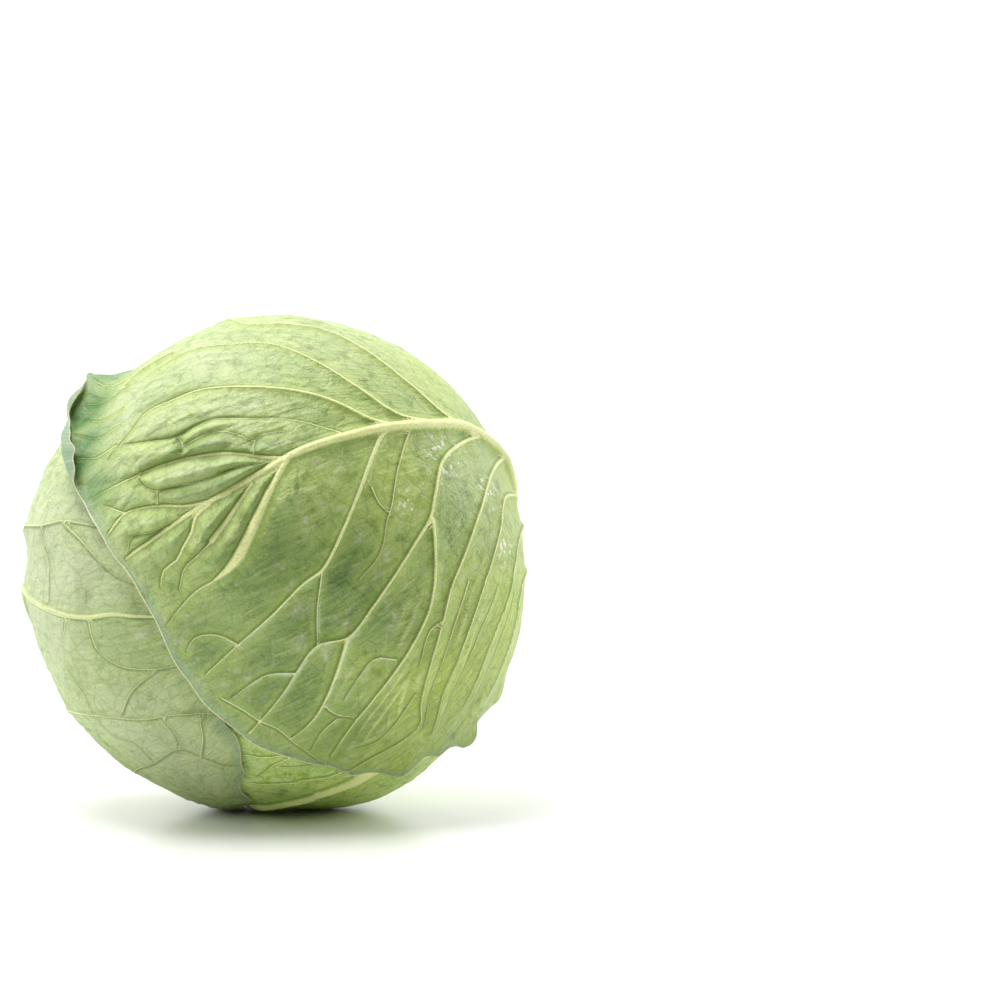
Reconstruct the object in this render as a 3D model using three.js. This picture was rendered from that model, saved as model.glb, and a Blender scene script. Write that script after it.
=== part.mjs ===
// A head of round white cabbage, lying on its side on a small flat spot, its cut stem at the right and
// back. Five wrapper leaves lie in layers over the packed heart. Every surface is a radius worked out
// for a direction from the middle of the head, so that the layers follow each other without touching.
// Millimetres, +Z up. The origin is on the surface that the head rests on, under its middle.
import * as THREE from 'three';
import { mergeVertices } from 'three/addons/utils/BufferGeometryUtils.js';

// Driving dimensions.
const HEAD_RADIUS = 99; // the outermost leaf, where it is a plain sphere
const MIDDLE_HEIGHT = 97.5; // the middle of the head above the surface: less than the radius, so it is flat
const BLADE = 0.95; // thickness of a leaf blade
const LAYER = 1.85; // from one leaf's outer face to the next one's
const DRAPE_START = 4; // a leaf stays raised this far past the margin of the leaf under it
const DRAPE_END = 38; // and has sunk to the next layer here
const PUFF = 1.5; // the blade swells this much between its veins
const PUFF_REACH = 7; // within this distance of a vein
const REST_REACH = 14; // the underside is flat this far around its middle
const STUMP_RADIUS = 15.5;
const STUMP_END = 100.5; // cut face, from the middle of the head
const STUMP_SEAT = 82.5; // the heart is flat here, under the stump
const SEAT_GAP = 0.4;
const HEART_GAP = 0.5; // the heart lies this much deeper than one more leaf would
const LEAF_TO_AXIS = 19.4; // leaf bases stop this far from the stump's axis
const MARGIN_WAVE = 1.3; // how far the margin waves in and out
const WAVE_LENGTH = 23; // along the margin
const RUFFLE = 1.3; // how far the open margin ruffles away from what lies under it
const RUFFLE_PITCH = [31, 27, 35]; // of the ruffles along X, Y and Z
const EDGE_BAND = 24; // the margin lifts and ruffles over this width
const MARGIN_STEP = 6.5; // between points along a leaf's margin
const VEIN_STEP = 8; // between points along a vein
const BLADE_STEP = 13.5; // between points on the open blade
const HEART_DETAIL = 7; // each face of the icosahedron becomes (detail + 1) squared

// The front view that outlines and veins are laid out in: an eye 1.2 m away, slightly above the middle.
const EYE_DISTANCE = 1200;
const EYE_LIFT = THREE.MathUtils.degToRad(3.2);
const RIGHT = new THREE.Vector3(1, 0, 0);
const FRONT = new THREE.Vector3(0, -Math.cos(EYE_LIFT), Math.sin(EYE_LIFT));
const UP = new THREE.Vector3(0, Math.sin(EYE_LIFT), Math.cos(EYE_LIFT));

const smooth = (low, high, value) => THREE.MathUtils.smoothstep(value, low, high);
const bell = (distance, reach) => Math.exp(-((distance / reach) ** 2));
const towards = (x, up, front) =>
  new THREE.Vector3()
    .addScaledVector(RIGHT, x)
    .addScaledVector(UP, up)
    .addScaledVector(FRONT, front)
    .normalize();

// Directions of points seen from the eye on the near side of the head, as [right, up] in mm.
function front(...points) {
  return points.map(([x, up]) => {
    const eye = FRONT.clone().multiplyScalar(EYE_DISTANCE);
    const ray = new THREE.Vector3().addScaledVector(RIGHT, x).addScaledVector(UP, up).sub(eye).normalize();
    const nearest = -eye.dot(ray);
    const inside = HEAD_RADIUS ** 2 - eye.lengthSq() + nearest ** 2;
    return eye.addScaledVector(ray, nearest - Math.sqrt(Math.max(inside, 0))).normalize();
  });
}

// Directions of points on the far side, straight behind [right, up] in mm.
function back(...points) {
  return points.map(([x, up]) => towards(x, up, -Math.sqrt(Math.max(HEAD_RADIUS ** 2 - x * x - up * up, 1))));
}

const STEM = towards(0.85, 0.03, -0.526); // the stem's axis

// Broad swellings and hollows of the whole head: direction, height and reach in mm.
const SWELLS = [
  { at: towards(0.72, 0.69, 0.1), height: -3.6, reach: 42 },
  { at: towards(0.86, -0.5, 0.1), height: 3.4, reach: 36 },
  { at: towards(0.45, -0.89, 0.1), height: 3.2, reach: 30 },
  { at: towards(-0.5, -0.86, 0), height: 1.6, reach: 30 },
  { at: towards(-0.92, -0.38, 0), height: -1.6, reach: 32 },
  { at: towards(-0.57, 0.82, 0), height: -3, reach: 34 },
  { at: towards(-0.96, 0.27, 0), height: 1.5, reach: 26 },
  { at: towards(-0.1, 0.99, 0), height: 0.8, reach: 30 },
  { at: STEM, height: -7, reach: 27 },
];

// Midribs and veins: start and end half-width and height, then the path of the crest.
const vein = (width, height, ...path) => ({ width, height, path: path.flat() });

const LEAVES = [
  {
    name: 'leaf_front',
    colour: '#7f9c4a',
    middle: towards(0.15, 0.4, 0.9),
    outline: [
      ...back([85, 25], [80, 45], [62, 72], [35, 88], [5, 92], [-28, 84], [-55, 73]),
      ...front([-74, 65], [-81, 51], [-78, 38], [-75, 22], [-64, 3], [-55, -9], [-45, -31], [-35, -49]),
      ...front([-25, -60], [-21, -64], [-14, -69], [-3, -75], [16, -81], [35, -84], [48, -83], [58, -76]),
      ...front([66, -71], [76, -72], [77, -65], [86, -55]),
      ...back([88, -40], [93, -18], [92, -4], [88.3, 8.7], [83, 18]),
    ],
    veins: [
      vein([7, 2.2], [3.2, 0.9], back([90, 13]), front([95, 26], [91, 42], [81, 49], [64, 53], [54, 56]),
        front([32, 52], [4, 42], [-25, 24], [-40, 14], [-54, 4])),
      vein([3, 2], [1.3, 0.6], front([79, 50], [61, 70], [39, 84], [18, 91], [-5, 95]), back([-22, 93])),
      vein([3, 2], [1.3, 0.6], front([61, 56], [46, 63], [18, 81], [1, 87], [-18, 87], [-39, 84], [-54, 76])),
      vein([3, 2], [1.3, 0.6], front([44, 56], [18, 66], [4, 68], [-18, 70], [-39, 67], [-54, 60]),
        front([-64, 50])),
      vein([3, 2], [1.2, 0.6], front([9, 44], [-11, 45], [-25, 44], [-39, 41], [-54, 35], [-69, 27])),
      vein([4, 2], [1.6, 0.6], front([5, 40], [-1, 33], [-5, 21], [-12, 7], [-19, -2], [-39, -16])),
      vein([3, 2], [1.4, 0.6], front([45, 53], [35, 27], [26, 13], [9, -9], [-15, -33], [-28, -44])),
      vein([3.2, 2], [1.6, 0.6], front([72, 48], [62, 21], [54, 6], [39, -16], [28, -30], [6, -44]),
        front([-5, -62])),
      vein([3, 2], [1.3, 0.6], front([62, 19], [63, -2], [59, -23], [46, -44], [32, -63], [21, -76])),
      vein([3, 2], [1.4, 0.6], front([86, 36], [79, 16], [74, -6], [62, -27], [58, -44], [56, -68])),
      vein([3, 2], [1.3, 0.6], back([92, 22]), front([91, 13], [85, -9], [75, -33], [68, -58])),
    ],
    // Where the margin stands off the leaf beneath it: direction, height and reach in mm.
    lifts: [
      { at: front([-77, 62])[0], height: 9, reach: 17 },
      { at: front([-78, 44])[0], height: 4.5, reach: 14 },
      { at: front([-66, 12])[0], height: 2.2, reach: 22 },
      { at: front([-38, -40])[0], height: 1.6, reach: 24 },
      { at: front([-5, -74])[0], height: 1.6, reach: 9 },
      { at: front([26, -84])[0], height: 2.4, reach: 9 },
      { at: front([48, -83])[0], height: 3, reach: 8 },
      { at: front([74, -71])[0], height: 3.6, reach: 8 },
      { at: back([70, 62])[0], height: 2, reach: 16 },
      { at: back([12, 91])[0], height: 2.6, reach: 14 },
      { at: back([-40, 80])[0], height: 2.2, reach: 12 },
    ],
  },
  {
    name: 'leaf_left',
    colour: '#8fa873',
    middle: towards(-0.75, -0.4, -0.5),
    outline: [
      ...front([-45, 28], [-30, 0], [-15, -35], [-21, -64], [-18, -70], [-14, -80], [-15, -89]),
      ...front([-12, -96], [-14, -98]),
      ...back([-15, -97], [-6, -95], [12, -92], [35, -84], [60, -65], [78, -35], [84, -15], [82.6, -6.4]),
      ...back([74, 1], [50, 8], [20, 12], [-15, 18], [-45, 32], [-66, 54]),
      ...front([-66, 66]),
    ],
    veins: [
      vein([7, 2.2], [3.2, 0.9], back([80, -15], [50, -50], [5, -68], [-45, -62], [-82, -40]),
        front([-98, -12], [-87, -19], [-71, -21], [-49, -22])),
      vein([3, 2], [1.4, 0.8], back([-45, -62], [-78, -62]), front([-82, -58], [-60, -59], [-27, -61])),
      vein([3, 2], [1.3, 0.8], back([5, -68], [-30, -82], [-52, -84]),
        front([-57, -82], [-44, -79], [-20, -79])),
      vein([3, 2], [1.3, 0.6], back([-45, -62], [-80, -24], [-96, 4]),
        front([-99, 13], [-84, 16], [-71, 14])),
      vein([3, 2], [1.3, 0.6], back([5, -68], [-30, -40], [-62, -14], [-88, 20], [-90, 38])),
      vein([3, 2], [1.3, 0.6], back([30, -60], [5, -38], [-28, -14], [-58, 16], [-72, 44])),
      vein([3, 2], [1.3, 0.6], back([55, -45], [35, -22], [10, -8], [-12, 4])),
      vein([3, 2], [1.3, 0.6], back([55, -45], [42, -72], [30, -84])),
      vein([3, 2], [1.3, 0.6], back([30, -60], [8, -84], [-2, -94])),
    ],
    lifts: [
      { at: front([-17, -78])[0], height: 1.4, reach: 14 },
      { at: back([60, -66])[0], height: 2.2, reach: 12 },
      { at: back([30, 9])[0], height: 2.6, reach: 13 },
      { at: back([-12, 18])[0], height: 1.8, reach: 11 },
      { at: back([-44, 32])[0], height: 2.6, reach: 13 },
    ],
  },
  {
    name: 'leaf_back_top',
    colour: '#86a35c',
    middle: towards(0.1, 0.9, -0.35),
    outline: [
      ...back([89, 17], [81.3, 11.7], [75, 11], [60, 24], [30, 34], [0, 41], [-30, 50], [-54, 62]),
      ...front([-66, 70], [-50, 66], [-30, 66], [0, 72], [35, 72], [60, 58], [80, 42], [92, 26]),
    ],
    veins: [
      vein([6, 2.2], [2.8, 0.9], back([82, 20], [66, 50], [40, 72], [0, 82], [-40, 76], [-58, 70])),
      vein([3, 2], [1.3, 0.6], back([66, 50], [45, 48], [20, 42])),
      vein([3, 2], [1.3, 0.6], back([40, 72], [18, 64], [-4, 52], [-10, 44])),
      vein([3, 2], [1.3, 0.6], back([0, 82], [-22, 72], [-38, 58])),
    ],
    lifts: [
      { at: back([44, 29])[0], height: 2, reach: 12 },
      { at: back([8, 39])[0], height: 2.8, reach: 14 },
      { at: back([-34, 52])[0], height: 2.2, reach: 12 },
    ],
  },
  {
    name: 'leaf_bottom',
    colour: '#a3b35f',
    middle: towards(0.25, -0.93, -0.05),
    outline: [
      ...back([88.3, -3.4], [94, -3]),
      ...front([94, -22], [82, -42], [66, -52], [40, -58], [10, -60], [-15, -56], [-45, -58], [-72, -58]),
      ...back([-74, -60], [-50, -75], [0, -80], [40, -72], [68, -52], [80, -26], [83, -14]),
    ],
    veins: [
      vein([9, 5], [3.4, 2.2], back([91, -12], [93, -28]), front([86, -50], [70, -70], [56, -78], [35, -86]),
        front([14, -94], [-6, -98]), back([-30, -94], [-50, -85])),
      vein([3, 2], [1.3, 0.7], front([86, -50], [62, -66], [38, -74], [11, -79], [-14, -80])),
      vein([3, 2], [1.3, 0.7], front([70, -70], [45, -79], [20, -87], [-10, -90])),
      vein([3, 2], [1.3, 0.7], back([93, -28], [84, -50], [64, -70])),
    ],
    lifts: [{ at: back([66, -56])[0], height: 1.6, reach: 12 }],
  },
  {
    name: 'leaf_back',
    colour: '#8aa667',
    middle: towards(-0.2, 0.05, -0.97),
    outline: [
      ...back([79.3, -0.4], [77, -14], [66, -30], [20, -50], [-30, -52], [-68, -46]),
      ...front([-92, -20], [-86, 5], [-80, 30], [-70, 52]),
      ...back([-48, 76], [0, 78], [40, 62], [66, 36], [77, 14]),
    ],
    veins: [
      vein([6, 2.2], [2.8, 0.9], back([76, -2], [55, 8], [25, 18], [-20, 24], [-60, 30], [-84, 34])),
      vein([3, 2], [1.3, 0.6], back([25, 18], [5, 28], [-18, 44])),
      vein([3, 2], [1.3, 0.6], back([-8, 22], [-34, 40], [-50, 60])),
      vein([3, 2], [1.3, 0.6], back([55, 8], [40, 20], [26, 32])),
    ],
    lifts: [],
  },
];

// A smooth path through directions, as directions about `step` mm apart.
function trace(path, step, closed) {
  const curve = new THREE.CatmullRomCurve3(path, closed, 'centripetal');
  const count = Math.max(2, Math.round((curve.getLength() * HEAD_RADIUS) / step));
  const points = curve.getSpacedPoints(count).map((point) => point.normalize());
  return closed ? points.slice(0, -1) : points;
}

const apart = (a, b) => a.distanceTo(b) * HEAD_RADIUS;

// Distance in mm from a direction to a path of directions, and how far along the path that is, 0 to 1.
function nearestOnPath(direction, points) {
  const near = new THREE.Vector3();
  const side = new THREE.Vector3();
  let best = { distance: Infinity, share: 0 };
  for (let index = 1; index < points.length; index += 1) {
    side.subVectors(points[index], points[index - 1]);
    const reach = near.subVectors(direction, points[index - 1]).dot(side) / side.lengthSq();
    const along = THREE.MathUtils.clamp(reach, 0, 1);
    const distance = apart(direction, near.copy(points[index - 1]).addScaledVector(side, along));
    if (distance < best.distance) best = { distance, share: (index - 1 + along) / (points.length - 1) };
  }
  return best;
}

// Moves a direction away from the stem's axis until it clears the stump.
function clearOfStump(direction) {
  const along = STEM.clone().multiplyScalar(direction.dot(STEM));
  const aside = direction.clone().sub(along);
  if (direction.dot(STEM) < 0 || aside.length() * HEAD_RADIUS >= LEAF_TO_AXIS) return direction;
  return along.addScaledVector(aside.normalize(), LEAF_TO_AXIS / HEAD_RADIUS).normalize();
}

// The flat map that a leaf is laid out on: stereographic, about the leaf's middle.
function leafMap(middle) {
  const across = new THREE.Vector3(0.3, -0.2, 0.9).cross(middle).normalize();
  const along = middle.clone().cross(across);
  return (direction) => {
    const scale = (2 * HEAD_RADIUS) / (1 + direction.dot(middle));
    return new THREE.Vector2(direction.dot(across), direction.dot(along)).multiplyScalar(scale);
  };
}

// How far a direction lies outside a leaf's margin in mm, negative on the leaf.
function outside(leaf, direction) {
  if (direction.dot(leaf.middle) < -0.97) return 2 * HEAD_RADIUS;
  const point = leaf.map(direction);
  const near = new THREE.Vector2();
  let nearest = Infinity;
  let within = false;
  leaf.flat.forEach((start, index) => {
    const end = leaf.flat[(index + 1) % leaf.flat.length];
    const side = end.clone().sub(start);
    const share = THREE.MathUtils.clamp(near.copy(point).sub(start).dot(side) / side.lengthSq(), 0, 1);
    nearest = Math.min(nearest, near.copy(start).addScaledVector(side, share).distanceTo(point));
    const crosses = start.y > point.y !== end.y > point.y;
    if (crosses && point.x < start.x + (side.x * (point.y - start.y)) / side.y) within = !within;
  });
  const shrink = (1 + direction.dot(leaf.middle)) / 2;
  return (within ? -nearest : nearest) * shrink;
}

// Radius of the whole head, cut off at the surface that it rests on.
function headRadius(direction) {
  let radius = HEAD_RADIUS;
  for (const swell of SWELLS) radius += swell.height * bell(apart(direction, swell.at), swell.reach);
  return radius;
}

const restRadius = (direction, radius) =>
  direction.z < 0 ? Math.min(radius, -MIDDLE_HEIGHT / direction.z) : radius;

// Near the middle of the underside an open leaf is thick enough to reach the surface, as a rib there is.
function restFill(direction, radius, open) {
  const floor = -MIDDLE_HEIGHT / direction.z;
  const underneath = direction.z < 0 && floor * Math.hypot(direction.x, direction.y) < REST_REACH;
  return underneath ? THREE.MathUtils.lerp(radius, floor, open) : restRadius(direction, radius);
}

// Radius of the outer face of layer number `index`, under the leaves before it.
function layerRadius(index, direction) {
  const above = LEAVES.slice(0, index);
  const sunk = above.map((leaf) => 1 - smooth(DRAPE_START, DRAPE_END, outside(leaf, direction)));
  return restRadius(direction, headRadius(direction)) - LAYER * sunk.reduce((sum, share) => sum + share, 0);
}

// How open to the air layer number `index` is: 0 under another leaf, 1 in the open.
function exposure(index, direction) {
  return LEAVES.slice(0, index).reduce((open, leaf) => open * smooth(2, 10, outside(leaf, direction)), 1);
}

// Height that the veins, and the swelling between them, add to a leaf's outer face.
function veinRelief(leaf, direction) {
  let ridge = 0;
  let nearest = Infinity;
  for (const { points, width, height } of leaf.veins) {
    const { distance, share } = nearestOnPath(direction, points);
    const half = THREE.MathUtils.lerp(width[0], width[1], share);
    const crest = THREE.MathUtils.lerp(height[0], height[1], share);
    nearest = Math.min(nearest, Math.max(distance - half, 0));
    ridge = Math.max(ridge, crest * Math.max(0, 1 - distance / half));
  }
  return ridge + PUFF * (1 - bell(nearest, PUFF_REACH));
}

function marginLift(leaf, direction, depth) {
  const [x, y, z] = RUFFLE_PITCH.map((pitch, axis) =>
    Math.sin((2 * Math.PI * HEAD_RADIUS * direction.getComponent(axis)) / pitch),
  );
  const ruffle = (RUFFLE * (3 + x + y + z)) / 6;
  const heights = leaf.lifts.map(({ at, height, reach }) => height * bell(apart(direction, at), reach));
  return heights.reduce((sum, height) => sum + height, ruffle) * smooth(-EDGE_BAND, 0, depth);
}

// Delaunay triangles of flat points, counter-clockwise, adding one point at a time.
function triangulate(points) {
  const far = 50 * HEAD_RADIUS;
  const frame = [new THREE.Vector2(-far, -far), new THREE.Vector2(far, -far), new THREE.Vector2(0, far)];
  const all = [...points, ...frame];
  const count = points.length;
  const circle = (a, b, c) => {
    const ab = all[b].clone().sub(all[a]);
    const ac = all[c].clone().sub(all[a]);
    const twice = 2 * ab.cross(ac);
    const x = (ac.y * ab.lengthSq() - ab.y * ac.lengthSq()) / twice;
    const y = (ab.x * ac.lengthSq() - ac.x * ab.lengthSq()) / twice;
    return { corners: [a, b, c], x: all[a].x + x, y: all[a].y + y, reach: x * x + y * y };
  };
  let triangles = [circle(count, count + 1, count + 2)];
  points.forEach((point, index) => {
    const edges = new Map();
    triangles = triangles.filter(({ corners, x, y, reach }) => {
      if ((point.x - x) ** 2 + (point.y - y) ** 2 >= reach) return true;
      corners.forEach((corner, side) => {
        const next = corners[(side + 1) % 3];
        if (!edges.delete(`${next} ${corner}`)) edges.set(`${corner} ${next}`, [corner, next]);
      });
      return false;
    });
    for (const [start, end] of edges.values()) triangles.push(circle(start, end, index));
  });
  return triangles.map(({ corners }) => corners).filter((corners) => Math.max(...corners) < count);
}

// Even points all over the head, on a spiral from pole to pole.
function spiral(step) {
  const count = Math.round((4 * Math.PI * HEAD_RADIUS ** 2) / (0.866 * step * step));
  const turn = Math.PI * (3 - Math.sqrt(5));
  return Array.from({ length: count }, (_, index) => {
    const height = 1 - (2 * index + 1) / count;
    const ring = Math.sqrt(1 - height * height);
    return new THREE.Vector3(ring * Math.cos(turn * index), ring * Math.sin(turn * index), height);
  });
}

// Lets a closed margin wave in and out along its length.
function wave(margin) {
  const turns = Math.round((margin.length * MARGIN_STEP) / WAVE_LENGTH);
  return margin.map((point, index) => {
    const next = margin[(index + 1) % margin.length];
    const aside = next.clone().sub(point).cross(point).normalize();
    const swing = MARGIN_WAVE * Math.sin((2 * Math.PI * turns * index) / margin.length);
    return point.clone().addScaledVector(aside, swing / HEAD_RADIUS).normalize();
  });
}

const BLADE_POINTS = spiral(BLADE_STEP);

// Rings of points on the flat spot, so that it is truly flat.
const REST_POINTS = [0, 7, REST_REACH - 0.5].flatMap((radius) =>
  Array.from({ length: Math.max(1, Math.round(radius)) }, (_, index) => {
    const angle = (2 * Math.PI * index) / Math.max(1, Math.round(radius));
    return new THREE.Vector3(radius * Math.cos(angle), radius * Math.sin(angle), -MIDDLE_HEIGHT).normalize();
  }),
);

// Points of one face of a leaf: the margin first, then the crests and feet of the veins, then the blade.
function facePoints(leaf, index, withVeins) {
  const inner = [];
  const add = (point, toMargin, toPoints) => {
    if (outside(leaf, point) > -toMargin) return;
    if (inner.every((other) => apart(point, other) > toPoints)) inner.push(point);
  };
  const restsHere = (point) => exposure(index, point) > 0.2;
  REST_POINTS.filter(restsHere).forEach((point) => add(point, 2.5, 3));
  if (withVeins) {
    for (const { points, width } of leaf.veins) {
      points.forEach((point, station) => {
        if (exposure(index, point) < 0.05) return;
        add(point, 3, 2.4);
        const next = points[Math.min(station + 1, points.length - 1)];
        const last = points[Math.max(station - 1, 0)];
        const aside = next.clone().sub(last).cross(point).normalize();
        const half = THREE.MathUtils.lerp(width[0], width[1], station / (points.length - 1));
        for (const side of [1, -1]) {
          add(point.clone().addScaledVector(aside, (side * half) / HEAD_RADIUS).normalize(), 3, 1.9);
        }
      });
    }
  }
  BLADE_POINTS.forEach((point) => add(point, 0.55 * MARGIN_STEP, 0.5 * BLADE_STEP));
  return [...leaf.margin, ...inner];
}

function faceTriangles(leaf, points) {
  const flat = points.map(leaf.map);
  const middleOf = (corners) =>
    corners.reduce((sum, corner) => sum.add(points[corner]), new THREE.Vector3()).normalize();
  return triangulate(flat).filter((corners) => outside(leaf, middleOf(corners)) < 0);
}

// A closed mesh from corner positions, relative to the middle of the head, and three corners a triangle.
function solid(name, colour, roughness, positions, corners) {
  const geometry = new THREE.BufferGeometry().setFromPoints(positions);
  geometry.setIndex(corners);
  geometry.computeVertexNormals();
  const material = new THREE.MeshStandardMaterial({ color: colour, roughness, metalness: 0 });
  const mesh = new THREE.Mesh(geometry, material);
  mesh.name = name;
  mesh.position.z = MIDDLE_HEIGHT;
  return mesh;
}

function leafMesh(leaf, index) {
  const bladeRadius = (direction) => {
    const open = exposure(index, direction);
    const lift = open * marginLift(leaf, direction, outside(leaf, direction));
    return restRadius(direction, layerRadius(index, direction) + lift);
  };
  const outerPoints = facePoints(leaf, index, true);
  const innerPoints = facePoints(leaf, index, false);
  const outer = outerPoints.map((direction) => {
    const open = exposure(index, direction);
    const radius = bladeRadius(direction) + open * veinRelief(leaf, direction);
    return direction.clone().multiplyScalar(restFill(direction, radius, open));
  });
  const inner = innerPoints.map((direction) =>
    direction.clone().multiplyScalar(bladeRadius(direction) - BLADE),
  );
  const first = outer.length;
  const ring = leaf.margin.length;
  const triangles = faceTriangles(leaf, outerPoints);
  for (const [a, b, c] of faceTriangles(leaf, innerPoints)) triangles.push([first + a, first + c, first + b]);
  for (let here = 0; here < ring; here += 1) {
    const next = (here + 1) % ring;
    triangles.push([next, here, first + here], [next, first + here, first + next]);
  }
  return solid(leaf.name, leaf.colour, 0.5, [...outer, ...inner], triangles.flat());
}

// The heart: the packed inner head, under all the leaves, flat where the stump stands on it.
function heartMesh() {
  const sphere = new THREE.IcosahedronGeometry(1, HEART_DETAIL);
  sphere.deleteAttribute('normal');
  sphere.deleteAttribute('uv');
  const merged = mergeVertices(sphere, 1e-4);
  const corner = new THREE.Vector3();
  const positions = Array.from({ length: merged.attributes.position.count }, (_, index) => {
    const direction = corner.fromBufferAttribute(merged.attributes.position, index).normalize().clone();
    const along = direction.dot(STEM);
    const seat = along > 0.5 ? STUMP_SEAT / along : Infinity;
    const radius = layerRadius(LEAVES.length, direction) - HEART_GAP;
    return direction.clone().multiplyScalar(Math.min(radius, seat));
  });
  return solid('heart', '#c9d39a', 0.55, positions, Array.from(merged.index.array));
}

// The stump: a short cut stem with a slight waist, and a shallow bowl in its cut face.
function stumpMesh() {
  const start = STUMP_SEAT + SEAT_GAP;
  const profile = [
    [0, start],
    [STUMP_RADIUS - 2, start],
    [STUMP_RADIUS - 1.2, start + 5],
    [STUMP_RADIUS - 0.4, STUMP_END - 5],
    [STUMP_RADIUS, STUMP_END - 1.2],
    [STUMP_RADIUS - 1, STUMP_END],
    [STUMP_RADIUS - 6, STUMP_END - 0.5],
    [0, STUMP_END - 1.2],
  ].map(([radius, height]) => new THREE.Vector2(radius, height));
  const lathe = new THREE.LatheGeometry(profile, 28);
  lathe.deleteAttribute('normal');
  lathe.deleteAttribute('uv');
  const mesh = new THREE.Mesh(
    mergeVertices(lathe, 1e-3),
    new THREE.MeshStandardMaterial({ color: '#cfc9a0', roughness: 0.75, metalness: 0 }),
  );
  mesh.name = 'stem_stump';
  mesh.quaternion.setFromUnitVectors(new THREE.Vector3(0, 1, 0), STEM);
  mesh.position.z = MIDDLE_HEIGHT;
  return mesh;
}

for (const leaf of LEAVES) {
  leaf.map = leafMap(leaf.middle);
  const clear = trace(leaf.outline, MARGIN_STEP, true).map(clearOfStump);
  leaf.margin = wave(trace(clear, MARGIN_STEP, true));
  if (THREE.ShapeUtils.area(leaf.margin.map(leaf.map)) < 0) leaf.margin.reverse();
  leaf.flat = leaf.margin.map(leaf.map);
  for (const rib of leaf.veins) rib.points = trace(rib.path, VEIN_STEP, false).map(clearOfStump);
}

const cabbage = new THREE.Group();
LEAVES.forEach((leaf, index) => cabbage.add(leafMesh(leaf, index)));
cabbage.add(heartMesh(), stumpMesh());

export default cabbage;
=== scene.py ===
import math
from itertools import groupby

import bmesh
import bpy
import numpy as np
from bpy.props import FloatProperty, FloatVectorProperty, IntProperty, PointerProperty
from mathutils import Matrix, Vector, kdtree


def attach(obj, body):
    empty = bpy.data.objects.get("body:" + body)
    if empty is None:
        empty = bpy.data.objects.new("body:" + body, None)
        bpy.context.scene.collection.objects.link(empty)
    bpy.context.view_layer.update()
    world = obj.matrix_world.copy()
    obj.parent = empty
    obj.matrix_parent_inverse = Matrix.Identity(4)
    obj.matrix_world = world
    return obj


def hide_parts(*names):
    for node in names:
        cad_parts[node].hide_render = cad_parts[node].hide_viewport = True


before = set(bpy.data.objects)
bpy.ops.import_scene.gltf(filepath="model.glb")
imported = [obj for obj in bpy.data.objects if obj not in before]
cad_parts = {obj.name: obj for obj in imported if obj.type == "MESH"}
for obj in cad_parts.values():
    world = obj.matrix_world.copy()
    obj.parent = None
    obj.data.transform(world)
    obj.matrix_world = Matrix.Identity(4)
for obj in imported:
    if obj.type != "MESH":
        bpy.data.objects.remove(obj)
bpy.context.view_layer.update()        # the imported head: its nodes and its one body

bl_info = {
    "name": "Cabbage head",
    "version": (1, 0, 0),
    "blender": (4, 5, 0),
    "location": "3D View > Sidebar > Cabbage",
    "description": "Builds the leaves, heart and stem of a round cabbage head, and a studio around it",
    "category": "Add Mesh",
}

MM = 0.001
HEAD_RADIUS = 99.0  # the outermost leaf, where it is a plain sphere
MIDDLE = Vector((0, 0, 97.5)) * MM  # the middle of the head
REST_REACH = 14  # the underside is flat this far around its middle
LAYER = 1.45  # from one leaf's outer face to the next one's
DRAPE = (4, 38)  # a leaf sinks to the next layer between these distances past the margin of one under it
OPENING = (1, 8)  # and is open to the air between these
SINK = 1.1  # the blades lie this much deeper than the frame's, to make room for their relief
BLADE = 0.95  # thickness of a leaf
EDGE_BLADE = 0.5  # and of its margin

STUMP_RADIUS = 15.5
STUMP_START = 82.9  # along the stem's axis, from the middle of the head
STUMP_END = 100.5
STUMP_FOOT = [(STUMP_RADIUS, 0), (3, 0), (1.8, 1), (1.2, 5), (0.8, 9)]  # inset, and height over the start
STUMP_SIDE = [(0.4, 5), (0.1, 2.4), (0, 1.2), (0.3, 0.4)]  # inset, and depth below the end
STUMP_FACE = [(1, 0), (3, 0.1), (6, 0.5), (9, 0.9), (12, 1.2), (STUMP_RADIUS, 1.2)]  # the same
LEAF_TO_AXIS = 15.2  # leaf bases run up to the stump
HEART_GAP = 0.8  # under the innermost layer
STUMP_GAP = 0.4  # between the heart and the stump

MARGIN_STEP = 1.6  # between points along a leaf's margin
MARGIN_WAVE = 1.3  # how far the margin waves in and out
WAVE_LENGTH = 23  # along the margin
EDGE_BAND = 24  # the margin lifts over this length
RUFFLE = 0.8
RUFFLE_PITCH = np.array([31, 27, 35])
FLARE_BAND = 17  # and bends outwards over this
LIP = 1.1  # length of margin that turns up, times each leaf's own share
CURL_REACH = 8.5  # length of blade that rolls back where the margin curls
CURL_RADIUS = 1.3
CURL_TURN = math.radians(172)
HUG = 0.45  # the blade behind the margin lies this much closer to the layer under it
HUG_BAND = 9
EDGE_THINNING = 5  # the leaf reaches its full thickness at this depth from the margin
RELIEF_FADE = 3.5  # and its relief the full height at this
EVEN_RINGS = 1.3  # rings of squares are even up to about this share of the margin's least reach

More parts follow.
